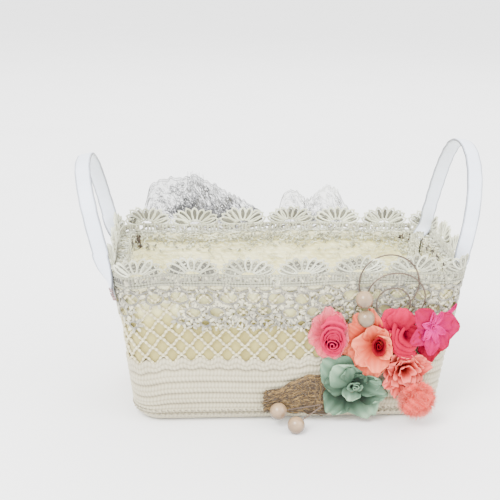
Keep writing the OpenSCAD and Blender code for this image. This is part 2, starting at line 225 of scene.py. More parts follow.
def smoothstep(x, a, b):
    """0 below a, 1 above b, and a smooth rise between."""
    t = np.clip((x - a) / (b - a), 0, 1)
    return t * t * (3 - 2 * t)


def waves(x, seed, low=1, high=6):
    """A smooth closed curve of small random waves over x from 0 to 1, about -1 to 1."""
    r = np.random.default_rng(seed)
    total = np.zeros_like(np.asarray(x, float))
    for k in range(low, high + 1):
        total += r.normal() / math.sqrt(high - low + 1) * np.sin(CIRCLE * (k * x + r.random()))
    return total


# ---------------------------------------------------------------- the wall

def half_sizes(z):
    """Half length and half depth of the outer wall line at height z."""
    part = np.minimum(z, RIM_H + 14) / RIM_H
    return (FOOT_W + (RIM_W - FOOT_W) * part) / 2, (FOOT_D + (RIM_D - FOOT_D) * part) / 2


def wall(u, z, out=0.0):
    """Point and outward direction at the fraction u of the way round, at height z and out from the wall line.
    u is 0 at the front of the right end and grows towards the back."""
    u, z, out = np.broadcast_arrays(np.asarray(u, float) % 1, np.asarray(z, float), np.asarray(out, float))
    hx, hy = half_sizes(z)
    r = CORNER_R
    side, front, arc = 2 * (hy - r), 2 * (hx - r), math.pi * r / 2
    half = side + front + 2 * arc
    s = u * 2 * half
    turn = np.where(s >= half, -1.0, 1.0)
    s = np.where(s >= half, s - half, s)
    a1 = np.clip((s - side) / arc, 0, 1) * math.pi / 2
    a2 = np.clip((s - side - arc - front) / arc, 0, 1) * math.pi / 2
    a = a1 + a2
    on_side = s < side
    on_front = (s >= side + arc) & (s < side + arc + front)
    x = np.where(on_side, hx, np.where(on_front, hx - r - (s - side - arc),
                 np.where(s < side + arc, hx - r, r - hx) + r * np.cos(a)))
    y = np.where(on_side, s - side / 2, np.where(on_front, hy, hy - r + r * np.sin(a)))
    normal = np.stack([np.cos(a) * turn, np.sin(a) * turn, np.zeros_like(x)], -1)
    point = np.stack([x * turn, y * turn, z * 1.0], -1)
    return point + normal * out[..., None], normal


def ring_length(z):
    """The way once round the wall at height z."""
    hx, hy = half_sizes(z)
    return 4 * (hx + hy - 2 * CORNER_R) + CIRCLE * CORNER_R


def slack(p):
    """The softness of the whole body: walls that belly a little and a rim that dips at its front corners."""
    p = p.copy()
    x, y, z = p[:, 0].copy(), p[:, 1].copy(), p[:, 2].copy()
    up = smoothstep(z, 12, 100)
    belly = np.sin(np.clip(z / RIM_H, 0, 1) * math.pi)
    front = smoothstep(np.abs(y), 30, 56)
    p[:, 1] += np.sign(y) * front * belly * 0.9 * np.cos(x / 118 * math.pi / 2) ** 2
    p[:, 1] += front * up * 0.5 * np.sin(x / 21 + np.sign(y))
    ends = smoothstep(np.abs(x), 90, 108)
    p[:, 0] += np.sign(x) * ends * belly * 0.6 * np.cos(y / 62 * math.pi / 2) ** 2
    dip = np.exp(-((x + 120) / 24) ** 2 - ((y + 64) / 34) ** 2)
    p[:, 2] -= up * (3.6 * dip)
    p[:, 2] += up * 0.7 * np.sin(x / 27 + 0.8 * np.sign(y)) * front
    return p


# ---------------------------------------------------------------- materials

class Nodes:
    """A material under construction."""

    def __init__(self, name):
        self.mat = bpy.data.materials.new(name)
        self.mat.use_nodes = True
        self.tree = self.mat.node_tree
        self.shader = self.tree.nodes["Principled BSDF"]
        self.coords = self.new("ShaderNodeTexCoord")

    def new(self, kind, **values):
        node = self.tree.nodes.new(kind)
        for key, value in values.items():
            if hasattr(node, key) and not key[0].isupper():
                setattr(node, key, value)
            else:
                node.inputs[key.replace("_", " ")].default_value = value
        return node

    def link(self, a, b):
        self.tree.links.new(a, b)

    def noise(self, scale, detail, rough, stretch=None):
        node = self.new("ShaderNodeTexNoise", Scale=scale, Detail=detail, Roughness=rough)
        self.link(self.place(stretch), node.inputs["Vector"])
        return node.outputs["Fac"]

    def place(self, stretch=None):
        if stretch is None:
            return self.coords.outputs["Object"]
        mapping = self.new("ShaderNodeMapping")
        mapping.inputs["Scale"].default_value = stretch
        self.link(self.coords.outputs["Object"], mapping.inputs["Vector"])
        return mapping.outputs["Vector"]

    def tone(self):
        return self.new("ShaderNodeAttribute", attribute_name="tone").outputs["Fac"]

    def math(self, operation, a, b):
        node = self.new("ShaderNodeMath", operation=operation)
        for i, value in enumerate((a, b)):
            if isinstance(value, (int, float)):
                node.inputs[i].default_value = value
            else:
                self.link(value, node.inputs[i])
        return node.outputs[0]

    def sum(self, a, share_a, b, share_b):
        """Two signals added, each with its own share."""
        return self.math("ADD", self.math("MULTIPLY", a, share_a), self.math("MULTIPLY", b, share_b))

    def ramp(self, factor, stops):
        node = self.new("ShaderNodeValToRGB")
        ramp = node.color_ramp
        ramp.elements[0].position, ramp.elements[0].color = stops[0][0], (*stops[0][1], 1)
        ramp.elements[1].position, ramp.elements[1].color = stops[-1][0], (*stops[-1][1], 1)
        for at, colour in stops[1:-1]:
            ramp.elements.new(at).color = (*colour, 1)
        self.link(factor, node.inputs["Fac"])
        return node.outputs["Color"]

    def mix(self, factor, a, b):
        node = self.new("ShaderNodeMix", data_type="RGBA")
        for socket, value in ((node.inputs[0], factor), (node.inputs[6], a), (node.inputs[7], b)):
            if isinstance(value, (int, float)):
                socket.default_value = value
            elif isinstance(value, tuple):
                socket.default_value = (*value, 1)
            else:
                self.link(value, socket)
        return node.outputs[2]

    def bump(self, height, strength, distance):
        node = self.new("ShaderNodeBump", Strength=strength, Distance=distance)
        self.link(height, node.inputs["Height"])
        self.link(node.outputs["Normal"], self.shader.inputs["Normal"])

    def scatter(self, radius, scale):
        self.shader.inputs["Subsurface Radius"].default_value = radius
        self.shader.inputs["Subsurface Scale"].default_value = scale

    def done(self, colour, **fixed):
        self.link(colour, self.shader.inputs["Base Color"])
        for key, value in fixed.items():
            self.shader.inputs[key.replace("_", " ")].default_value = value
        return self.mat


def yarn(name, dark, mid, light, scale=900, bump=0.5, rough=0.85, soft=0.0):
    """Twisted or crocheted yarn, coloured from its tone: low tones paint shade where a piece lies low, with
    fine fibres along it.
    """
    n = Nodes(name)
    fibre = n.noise(scale, 4, 0.6)
    drift = n.noise(38, 2, 0.5)
    height = n.sum(n.tone(), 0.72, drift, 0.28)
    colour = n.ramp(height, [(0.12, dark), (0.5, mid), (0.85, light)])
    colour = n.mix(n.math("MULTIPLY", fibre, 0.25), colour, mid)
    n.bump(fibre, bump, 0.0004)
    if soft:
        n.scatter((0.004, 0.003, 0.002), 0.6)
    return n.done(colour, Roughness=rough, Sheen_Weight=0.25, Subsurface_Weight=soft)


def woven(name, dark, light, pitch=0.0011, bump=0.35, rough=0.9, blotch=22, fuzz=0.0):
    """Plain woven cloth with threads a pitch apart."""
    n = Nodes(name)
    threads = []
    for axis in range(2):
        wave = n.new("ShaderNodeTexWave", Scale=0.16 / pitch, Distortion=0.6, Detail=1.0, Detail_Scale=2.0)
        wave.bands_direction = "Z" if axis else "DIAGONAL"
        n.link(n.coords.outputs["Object"], wave.inputs["Vector"])
        threads.append(wave.outputs["Fac"])
    weave = n.math("MULTIPLY", threads[0], threads[1])
    fluff = n.noise(700, 5, 0.7)
    height = n.math("ADD", weave, n.math("MULTIPLY", fluff, 0.5 + fuzz))
    patch = n.noise(blotch, 3, 0.6)
    colour = n.ramp(n.sum(patch, 0.75, weave, 0.25), [(0.3, dark), (0.62, light)])
    n.bump(height, bump, 0.0005)
    return n.done(colour, Roughness=rough, Sheen_Weight=0.3)


def petal(name, stops, clear=0.0):
    """Pressed cloth petal, coloured from its foot, tone 0, to its edge, tone 1: partly the cloth's own colour
    and partly painted shade, darkest at the foot where petals overlap.
    """
    n = Nodes(name)
    weave = n.noise(260, 4, 0.6, (1, 1, 0.35))
    cloud = n.noise(70, 3, 0.5)
    at = n.sum(n.tone(), 0.86, cloud, 0.14)
    n.bump(weave, 0.25, 0.0006)
    n.scatter((0.004, 0.002, 0.0015), 0.5)
    return n.done(n.ramp(at, stops), Roughness=0.75, Sheen_Weight=0.0, Specular_IOR_Level=0.05,
                  Alpha=1.0 - clear, Subsurface_Weight=0.12)


def plain_grain(name, dark, light, scale, rough, bump=0.2):
    """Solid material with a fine grain and a slow drift of colour."""
    n = Nodes(name)
    grain = n.noise(scale, 4, 0.6)
    n.bump(grain, bump, 0.0003)
    colour = n.ramp(n.noise(scale / 8, 3, 0.5), [(0.3, dark), (0.7, light)])
    return n.done(colour, Roughness=rough)


crochet_mat = yarn("crochet_cotton", (0.07, 0.055, 0.035), (0.33, 0.29, 0.19), (0.60, 0.55, 0.39), 800,
                   soft=0.03)
stitch_mat = yarn("hem_cotton", (0.05, 0.04, 0.03), (0.22, 0.19, 0.13), (0.50, 0.45, 0.32), 900, 0.6)
net_mat = yarn("net_cotton", (0.14, 0.115, 0.06), (0.42, 0.37, 0.21), (0.74, 0.69, 0.47), 1000, 0.5)
lace_mat = yarn("lace_cotton", (0.065, 0.061, 0.060), (0.33, 0.31, 0.235), (0.86, 0.82, 0.54), 900, 0.6)
trim_mat = yarn("trim_cotton", (0.05, 0.047, 0.040), (0.34, 0.335, 0.24), (0.84, 0.86, 0.68), 900, 0.6,
                soft=0.03)
cover_mat = yarn("cover_weave", (0.26, 0.205, 0.062), (0.48, 0.42, 0.150), (0.90, 0.88, 0.52), 620, 0.3)
lining_mat = woven("lining_weave", (0.76, 0.71, 0.40), (0.96, 0.94, 0.66), 0.0016, 0.4, 0.95, 30, 0.8)
tape_mat = woven("tape_weave", (0.56, 0.52, 0.30), (0.78, 0.76, 0.52), 0.0009)
thread_mat = yarn("lining_thread", (0.40, 0.38, 0.25), (0.72, 0.71, 0.50), (0.95, 0.95, 0.76), 900, 0.4)


def piece(obj, slot, *nodes):
    """A piece that rides on the basket, in place of the CAD nodes it stands for. The slot is not used."""
    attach(obj, "basket")
    if nodes:
        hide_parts(*nodes)
    return obj


# ---------------------------------------------------------------- basket body

def row_drift(u):
    """How far the crochet rows rise or dip round the basket."""
    x = wall(u, 30.0)[0]
    front = smoothstep(-x[..., 1], 30, 52)
    drift = 0.55 * waves(u, 5, 2, 9)
    drift += front * (3.0 * smoothstep(x[..., 0], -14, 36) - 3.4 * smoothstep(-x[..., 0], 84, 108))
    return drift


NET_CELLS = 53
# How many loose threads, knots and hairs there are
LINING_FIBRES, LACE_KNOTS, TURNED_KNOTS, CORNER_KNOTS, PUFF_HAIRS = 1100, 1500, 3300, 900, 2200


def edge_wave(u):
    """The scalloped upper edge of the crochet, one scallop for each cell of the net."""
    return 1.5 * np.cos(CIRCLE * NET_CELLS * u) + 0.5 * waves(u, 9, 3, 12)


def crochet_wall():
    """Rounds of crochet from the foot to the net.
    edges are the ways up the wall where one round meets the next."""
    stitches, per = 264, 4
    edges = [0.0, 3.6, 7.6, 12.2, 16.0, 19.6, 23.4, 27.4, 31.6, 36.2, 40.9, 45.9, 49.8, 53.6]
    deep = {3, 5, 7, 9, 11}  # edges cut deeper, whose painted shade shows as a dark line
    u = np.arange(stitches * per) / (stitches * per)
    rows, tones = [], []
    for k in range(len(edges) - 1):
        steps = 6 if k < len(edges) - 2 else 7
        for i in range(steps):
            q = i / 6
            w = edges[k] + (edges[k + 1] - edges[k]) * q
            ends_low = 1.0 if (k in deep) else 0.55
            ends_high = 1.0 if (k + 1 in deep) else 0.55
            depth = ends_low * (1 - q) ** 3 + ends_high * q ** 3
            ridge = 1 - depth
            slant = (0.35 if k % 2 else -0.35) * q
            p = u * stitches + slant + 0.25 * waves(u, 30 + k, 4, 22)
            bump = 0.5 + 0.5 * np.cos(CIRCLE * p)
            knob = 0.5 + 0.5 * np.cos(4 * math.pi * p + 1.3)
            height = 1.15 * ridge + 0.42 * bump * (0.35 + 0.65 * math.sin(math.pi * q)) + 0.12 * knob
            height = height - 0.75
            rows.append((w, height))
            # painted shade: tone low in the grooves between rounds and between stitches, high on the ridges
            tones.append(np.clip(0.12 + 0.62 * ridge + 0.28 * bump, 0, 1))
    arc = math.pi / 2 * FOOT_R
    points = []
    top = edges[-1]
    for w, height in rows:
        if w < arc:
            a = w / FOOT_R
            inset = FOOT_R * (1 - math.sin(a))
            z = 0.3 + FOOT_R * (1 - math.cos(a)) + 0 * u
            drop = math.cos(a)
        else:
            inset, drop = 0.0, 0.0
            z = FOOT_R + 0.3 + (w - arc) * (CROCHET_H - FOOT_R - 0.3) / (top - arc) + 0 * u
        lift = smoothstep(w, 8, 26) * row_drift(u) * (1 - smoothstep(w, 44, top))
        lift = lift + smoothstep(w, 40, top) * (edge_wave(u) + 0.6 * row_drift(u))
        out = -inset + height * (1 - drop) - 0.15
        z = np.maximum(z + lift - drop * height * 0.4, 0.15)
        points.append(wall(u, z, out)[0])
    inner = [wall(u, points[-1][:, 2], -2.3)[0], wall(u, 26.0, -2.3)[0], wall(u, 9.5, -2.3)[0],
             wall(u, 3.2, -FOOT_R + 0.4)[0]]
    rings = np.array(points + inner)
    tone = np.array(tones + [np.full_like(u, 0.3)] * len(inner))
    s = Shells()
    s.add(rings, ring_quads(len(rings), len(u), True)[:, ::-1], tone)
    return s.build("crochet_body", crochet_mat, warp=slack)


piece(crochet_wall(), "crochet_yarn", "crochet_wall")


def foot_stitches():
    """Two rows of small slanted stitches just above the foot."""
    s = Shells()
    count = 150
    for row, (z, lean) in enumerate(((6.6, 0.9), (9.4, -0.9))):
        for i in range(count):
            u0 = (i + 0.5 * row) / count
            a, b = u0 - 0.28 / count, u0 + 0.28 / count
            us = np.linspace(a, b, 5)
            zs = z + lean * np.linspace(-1, 1, 5) * 0.5
            inset = FOOT_R - np.sqrt(np.maximum(FOOT_R ** 2 - (FOOT_R - np.minimum(zs, FOOT_R)) ** 2, 0))
            rise = 0.35 + 0.35 * np.sin(np.linspace(0, math.pi, 5))
            p, normal = wall(us, zs, -inset + rise)
            tube(s, p, 0.5, 5, up=normal, tone=np.linspace(0.35, 0.8, 5))
    return s.build("hem_stitches", stitch_mat, warp=slack)


piece(foot_stitches(), "stitch_yarn", "foot_stitching")


def cover_sheet():
    """Cream cloth under the net, paler towards the rim."""
    u = np.arange(240) / 240
    heights = np.linspace(12, 103.4, 34)
    grid = []
    for z in heights:
        folds = 0.28 * waves(u + z / 900, 14, 8, 30) + 0.2 * math.sin(z / 7) * waves(u, 15, 5, 16)
        grid.append(wall(u, z, -2.9 + folds)[0])
    s = Shells()
    tone = (0.25 + 0.6 * smoothstep(heights, 66, 90))[:, None] + 0.08 * waves(u, 16, 20, 60)
    shell(s, np.array(grid), 0.6, tone, wrap=True)
    return s.build("cover_sheet", cover_mat, warp=slack)


cover = piece(cover_sheet(), "cover_cloth", "cover_cloth")


def lining_sheet():
    """Lining of the walls and floor in one shell, softly puckered where it turns into the floor."""
    u = np.arange(300) / 300
    grid, tones = [], []
    for z in np.linspace(104.5, 16, 36):
        folds = 0.45 * waves(u, 21, 9, 34) * math.sin(z / 110 * math.pi)
        folds = folds + 0.3 * waves(u + z / 700, 22, 20, 60)
        grid.append(wall(u, z, -5.7 - np.abs(folds))[0])
        tones.append(0.5 + 0.2 * folds)
    base = wall(u, 16.0, -5.9)[0]
    foot = wall(u, 7.0, -13.0)[0]
    for t in np.linspace(0.12, 1, 8):
        a = t * math.pi / 2
        ring = base * math.cos(a) ** 2 + foot * math.sin(a) ** 2
        ring[:, 2] = 16 - 9.4 * math.sin(a) + 0.2 * waves(u, 23, 20, 50) * math.sin(2 * a)
        grid.append(ring)
        tones.append(np.full_like(u, 0.4))
    for t in (0.86, 0.7, 0.52, 0.34, 0.18, 0.06):
        ring = foot * np.array([t, t, 1])
        ring[:, 2] = 6.6 + 0.25 * waves(u, 24, 3, 9) * t * (1 - t) * 4
        grid.append(ring)
        tones.append(np.full_like(u, 0.45))
    s = Shells()
    shell(s, np.array(grid)[::-1], 0.6, tone=np.array(tones)[::-1], wrap=True)
    return s.build("lining_sheet", lining_mat, warp=slack)


def lining_threads():
    """Loose fuzz of fine threads over the upper part of the lining."""
    s = Shells()
    r = np.random.default_rng(25)
    for i in range(LINING_FIBRES):
        u0, z0 = r.random(), 106.5 - 30 * r.random() ** 1.7
        w = np.linspace(0, 1, 9)
        turn = r.random() * CIRCLE
        span = 5 + 8 * r.random()
        us = u0 + span * math.cos(turn) * (w + 0.1 * np.sin(w * 9 + i)) / 700
        zs = np.clip(z0 + 0.5 * span * math.sin(turn) * (w + 0.12 * np.sin(w * 11 + 2 * i)), 70, 107.5)
        p = wall(us, zs, -7.2 - 0.5 * r.random() - 0.4 * np.sin(w * math.pi))[0]
        tube(s, p, 0.16 + 0.14 * r.random(), 3, tone=r.random())
    return s.build("lining_threads", thread_mat, warp=slack)


fuzz = piece(lining_threads(), "lining_cloth")
lining = piece(lining_sheet(), "lining_cloth", "lining")


def binding():
    """Tape folded over the top of the walls."""
    u = np.arange(280) / 280
    profile = [(-1.0, 99.5), (-0.75, 103), (-1.0, 104.8), (-2.4, 105.6), (-4.4, 105.7), (-5.9, 105.2),
               (-6.5, 104.0), (-6.6, 102), (-6.5, 99.4)]
    grid = [wall(u, z + 0.22 * waves(u, 31, 9, 40), out + 0.16 * waves(u, 32 + i, 12, 50))[0]
            for i, (out, z) in enumerate(profile)]
    s = Shells()
    shell(s, np.array(grid)[::-1], 0.7, wrap=True)
    return s.build("rim_tape", tape_mat, warp=slack)


tape = piece(binding(), "binding", "rim_binding")


# ---------------------------------------------------------------- net

def net():
    """Crochet trellis: zigzag chains that meet in small knots."""
    s = Shells()
    per = 12
    steps = NET_CELLS * per
    u = np.arange(steps) / steps
    pitch = 6.5
    rows = 9
    for k in range(rows):
        odd = k % 2
        swing = (-1) ** odd * (pitch / 2 - 0.4)
        z = CROCHET_H + 0.4 + pitch * k + swing * np.cos(CIRCLE * NET_CELLS * u)
        z = z + 0.5 * waves(u, 40 + k, 6, 30) + 0.5 * row_drift(u) * max(0.2, 1 - k / 7)
        links = np.cos(CIRCLE * u * NET_CELLS * 6)
        p, normal = wall(u, z, -1.15 + 0.25 * waves(u, 60 + k, 10, 40))
        tube(s, p, 0.92 * (1 + 0.16 * links), 6, closed=True, up=normal, tone=0.62 + 0.2 * links)
        for i in range(NET_CELLS):
            at = (i + 0.5 * odd) / NET_CELLS
            j = int(round(at * steps)) % steps
            out = normal[j]
            blob(s, p[j] + out * 0.15, [np.cross(out, UP) * 1.35, UP * 1.1, out * 0.95], 4, 6, tone=0.8)
    return s.build("trellis_net", net_mat, warp=slack)


trellis = piece(net(), "net_yarn", "net_band")


# ---------------------------------------------------------------- floral lace

HOLES = 42


def motif(s, u0, z0, half_w, half_h, length, petals, seed):
    """One round cell of the floral lace: a corded ring with small petals about it."""
    r = np.random.default_rng(seed)
    a = np.arange(16) * CIRCLE / 16
    wob = 1 + 0.05 * r.normal(size=16)
    us = u0 + half_w * wob * np.cos(a) / length
    zs = z0 + half_h * wob * np.sin(a)
    p, normal = wall(us, zs, 0.45)
    # painted shade: the corded ring gets a low tone, a dark outline round each cell
    tube(s, p, 0.72 * (1 + 0.12 * np.cos(5 * a)), 6, closed=True, up=normal, flat=0.8,
         tone=0.20 + 0.14 * np.cos(3 * a))
    for b in petals:
        b = b + r.normal() * 0.06
        reach_w, reach_h = half_w + 2.1, half_h + 1.9
        at, out = wall(u0 + reach_w * math.cos(b) / length, z0 + reach_h * math.sin(b), 0.15 + 0.3 * r.random())
        side = np.cross(out, UP)
        along = unit(-side * math.cos(b) + UP * math.sin(b))
        across = np.cross(out, along)
        size = 1 + 0.15 * r.normal()
        blob(s, at, [along * 2.3 * size, across * 1.15 * size, out * 0.8], 5, 6, tone=0.42 + 0.32 * r.random())


def lace():
    """Rows of round cells in a close ground of small knots."""
    s = Shells()
    length = ring_length(98)
    rows = ((104.3, 6.9, 4.8), (94.6, 6.3, 4.5), (85.2, 5.2, 3.9), (77.0, 3.6, 2.6))
    holes = []
    for row, (z, half_w, half_h) in enumerate(rows):
        for i in range(HOLES):
            u0 = (i + 0.5 * (row % 2)) / HOLES
            x = wall(u0, z)[0]
            if row >= 2 and x[1] < -40 and -104 < x[0] < -76:
                continue
            if row == 3 and (i * 7) % 5 in (1, 2):
                continue
            r = np.random.default_rng(900 + 50 * row + i)
            dz = 0.7 * r.normal()
            u0 = u0 + 0.3 * r.normal() / length
            half = half_w * (1 + 0.06 * r.normal())
            holes.append((u0 % 1, z + dz, half, half_h))
            motif(s, u0, z + dz, half, half_h, length, np.arange(8) * math.pi / 4 + r.random(),
                  1000 + 60 * row + i)
    holes = np.array(holes)
    r = np.random.default_rng(990)
    placed = 0
    while placed < LACE_KNOTS:
        u0, z0 = r.random(), 72 + 38.5 * r.random()
        at, out = wall(u0, z0, 0.0)
        low = 81.0
        if at[1] < -40:
            low = 93.0 if -106 < at[0] < -74 else (71.5 if at[0] > -74 else 84)
        if z0 < low + 1.5 * math.sin(u0 * 260):
            continue
        du = (u0 - holes[:, 0] + 0.5) % 1 - 0.5
        if np.min((du * length / holes[:, 2]) ** 2 + ((z0 - holes[:, 1]) / holes[:, 3]) ** 2) < 1.3:
            continue
        turn = r.random() * math.pi
        side = np.cross(out, UP)
        along = side * math.cos(turn) + UP * math.sin(turn)
        # painted shade: about a third of the ground knots are dark, for the shade between the knots
        tone = 0.40 + 0.36 * r.random() if r.random() < 0.66 else 0.08 + 0.2 * r.random()
        at = at + out * (0.1 + 0.5 * r.random())
        knot(s, at, along, out, (1.5 + 0.9 * r.random(), 0.85, 0.65), tone)
        placed += 1
    return s.build("floral_lace", lace_mat, warp=slack)


overlay = piece(lace(), "lace", "lace_overlay")


# ---------------------------------------------------------------- standing lace

HANDLE_Y = 51.0


def near_leg(point, room):
    """Whether a point of the standing lace lies where a leg of the right handle comes through it."""
    return point[0] > 108 and abs(abs(point[1]) - HANDLE_Y) < room


def standing_lace():
    """Crochet fans on a band of short posts, with a chain along each edge of the band."""
    s = Shells()
    length = ring_length(112)
    steps = SCALLOPS * 36
    u = np.arange(steps) / steps
    sway = 0.5 * waves(u, 71, 4, 24)
    links = np.cos(CIRCLE * u * 330)
    for z, radius in ((104.4, 0.95), (106.3, 0.8), (111.2, 1.0)):
        p, normal = wall(u, z + sway * 0.7, 0.35 + 0.2 * waves(u, 72, 8, 40))
        shade = 0.22 * smoothstep(-p[:, 1], 20, 60)
        tube(s, p, radius * (1 + 0.2 * links), 6, closed=True, up=normal, tone=0.6 - shade + 0.2 * links)
    r = np.random.default_rng(73)
    for k in range(SCALLOPS):
        for group in range(3):
            for post in range(4):
                u0 = (k + SCALLOP_SHIFT + (group + 0.1 + 0.21 * post) / 3) / SCALLOPS
                zs = np.linspace(106, 111.4, 5)
                p, normal = wall(u0 + 0.0004 * r.normal() + 0 * zs, zs, 0.3 + 0.25 * np.sin(zs))
                if near_leg(p[0], 2.2):
                    continue
                # painted shade: posts at the front get a lower tone than those at the back
                shadow = math.exp(-((p[0, 0] + 122) / 12) ** 2) * (1 if p[0, 1] < 20 else 0.3)
                tone = (0.44 if p[0, 1] < -40 else 0.68) - 0.6 * shadow + 0.08 * r.normal(size=5)
                tube(s, p, 0.98, 5, up=normal, tone=np.clip(tone, 0, 1))
        u_mid = (k + SCALLOP_SHIFT + 0.5) / SCALLOPS
        lean = 0.5 * r.normal()
        for a in np.radians(np.linspace(4, 176, 9)):
            a = a + 0.03 * r.normal()
            foot = np.array([-5.2 * math.cos(a), 0.4 + 2.4 * math.sin(a)])
            tip_at = np.array([-17.4 * math.cos(a), 3.0 + (9.4 + 0.4 * r.normal()) * math.sin(a) ** 0.9])
            reach = math.hypot(*(tip_at - foot))
            along = (tip_at - foot) / reach
            q = np.linspace(0, CIRCLE, 15)[:-1]
            half = 2.65
            far = reach * (0.5 - 0.5 * np.cos(q))
            wide = half * np.sin(q) * (0.6 + 0.4 * far / reach)
            x = foot[0] + along[0] * far + along[1] * wide
            h = foot[1] + along[1] * far - along[0] * wide
            flare = 0.25 + 0.1 * h + lean * h / 12 + 0.25 * r.normal()
            p, normal = wall(u_mid + x / length, 111.4 + np.maximum(h, -0.6), flare)
            if near_leg(p.mean(0), 3.0) or near_leg(p[7], 2.4):
                continue
            shade = 0.2 * smoothstep(-p[0, 1], 20, 60)
            tube(s, p, 0.74, 5, closed=True, up=normal, tone=0.84 - shade + 0.10 * r.normal())
            mid = p.mean(0)
            out = normal[0]
            spine = unit(p[7] - p[0])
            across = np.cross(out, spine)
            # painted shade: a dark blob fills each fan loop, for the shade in the gaps between the loops
            blob(s, mid + out * 0.05, [spine * reach * 0.42, across * half * 0.6, out * 0.4], 5, 8,
                 tone=np.clip(0.10 + 0.10 * r.normal(), 0, 1))
            for t in (0.3, 0.55, 0.8):
                rib = p[0] + (p[7] - p[0]) * t + out * 0.35
                blob(s, rib, [across * half * 0.55, spine * 0.55, out * 0.42], 4, 6,
                     tone=0.66 - shade + 0.14 * r.normal())
            blob(s, p[7] + spine * 0.5, [spine * 0.85, across * 0.8, out * 0.7], 4, 6, tone=0.85 - shade)
    return s.build("standing_lace", trim_mat, warp=slack)


INSIDE_TURN = 22      # degrees from flat on the end wall, for a strap end sewn inside a corner
INSIDE_RADIUS = 10.16  # from the middle of the corner's round to the middle of that strap end


def inside_place(z):
    """Middle of a strap end that lies inside the corners, at height z."""
    a = math.radians(INSIDE_TURN)
    hx, hy = half_sizes(min(z, 106))
    return hx - CORNER_R + INSIDE_RADIUS * math.cos(a), hy - CORNER_R + INSIDE_RADIUS * math.sin(a)


def leg_directions(degrees):
    """The outward direction and the width direction of a sewn end turned so far from flat."""
    a = math.radians(degrees)
    return np.array([math.cos(a), -math.sin(a), 0]), np.array([math.sin(a), math.cos(a), 0])


# Stations of a sewn end: height, distance along X and Y, turn from flat to edge-on in degrees, width, thickness
LEFT_LEG = [
    (89.2, 119.3, 50.8, -4, 1.2, 0.5), (90.6, 119.7, 50.8, -4, 6, 1.3), (92.4, 120.2, 50.8, -3, 9.8, 1.8),
    (95, 121.1, 50.8, 0, 11, 2.2), (99, 122.2, 50.7, 10, 11, 2.4), (102, 122.9, 50.7, 20, 11, 2.4),
    (107, 124.4, 50.7, 42, 11, 2.4), (112, 126.3, 50.6, 62, 11, 2.4), (117, 128.1, 50.6, 78, 11, 2.4),
    (121, 129.2, 50.6, 88, 11, 2.4)]
RIGHT_LEG = [(z, *inside_place(z), INSIDE_TURN, width, thickness) for z, width, thickness in
             ((86, 10.4, 1.0), (87.2, 11, 2.0), (95, 11, 2.3), (103, 11, 2.4))]
RIGHT_LEG += [
    (106.4, 111.6, 48.7, 42, 11, 2.4), (109.5, 114.6, 49.8, 66, 11, 2.4), (113, 116.9, 50.8, 86, 11, 2.4),
    (118, 118.0, 51.2, 90, 11, 2.4), (121, 118.3, 51.3, 90, 11, 2.4)]


def station(leg, z):
    """The numbers of a sewn end at height z."""
    leg = np.array(leg, float)
    return [np.interp(z, leg[:, 0], leg[:, j]) for j in range(6)]


def turned_lace():
    """The foot of the lace, turned over the tape, down inside and over the sewn ends in the right corners."""
    s = Shells()
    r = np.random.default_rng(1200)
    track = np.array([(-0.9, 106.3), (-3.5, 106.7), (-6.4, 106.3), (-7.7, 104.4), (-7.6, 84.0)])
    run = np.concatenate([[0], np.cumsum(np.hypot(*np.diff(track, axis=0).T))])
    count = 0
    while count < TURNED_KNOTS:
        u0, w = r.random(), run[-1] * r.random()
        out, z = np.interp(w, run, track[:, 0]), np.interp(w, run, track[:, 1])
        at, normal = wall(u0, z, out)
        low = 82 if at[0] > 98 else 91
        if z < 103 and r.random() > (max(z - low, 0) / (103 - low)) ** 1.4:
            continue
        face = UP if z > 105.6 else -normal
        turn = r.random() * math.pi
        side = unit(np.cross(normal, UP))
        up = unit(np.cross(face, side))
        along = side * math.cos(turn) + up * math.sin(turn)
        cloud = 0.5 + 0.5 * math.sin(u0 * 61 + 2) * math.sin(u0 * 137 + 0.35 * z)
        tone = np.clip(0.42 + 0.36 * cloud + 0.18 * r.normal(), 0.12, 1)
        knot(s, at + face * 0.15 * r.random(), along, face, (1.2 + 0.9 * r.random(), 0.75, 0.42), tone)
        count += 1
    for i in range(CORNER_KNOTS):
        z = 83.5 + 25 * r.random() ** 0.8
        x, y, turn = station(RIGHT_LEG, z)[1:4]
        out, side = leg_directions(turn)
        face = -out
        at = np.array([x, -y, z]) + side * 6.6 * (2 * r.random() - 1) * min(1, (110 - z) / 5)
        at = at + face * (1.45 + 0.2 * r.random())
        tilt = r.random() * math.pi
        along = side * math.cos(tilt) + np.array([0, 0, math.sin(tilt)])
        axes = np.array([along * (1.2 + 0.8 * r.random()), np.cross(face, along) * 0.75, face * 0.4])
        flip = np.array([1, 1 if i % 2 else -1, 1])
        blob(s, at * flip, axes * flip, 4, 5, tone=np.clip(0.6 + 0.22 * r.normal(), 0.12, 1))
    return s.build("turned_lace", trim_mat, warp=slack)


# Places of the painted shade in the lace's eyelets, near the two ends of the basket
EYELET_SHADE_SPOTS = [(-111, 57, 103.5), (-108, 57, 102), (-110, 57, 100), (-109, 57, 97), (-118, 50, 102),
           (-119, 46, 100), (108, 56, 103), (100, 57, 104), (112, 40, 104), (113, 24, 103), (112, 8, 103),
           (113, -8, 104), (112, -26, 104), (112, -31, 103)]


def nearest_u(x, y):
    """How far round the wall the place nearest to x and y is."""
    u = np.arange(2000) / 2000
    p = wall(u, 102.0, -7.0)[0]
    return u[np.argmin((p[:, 0] - x) ** 2 + (p[:, 1] - y) ** 2)]


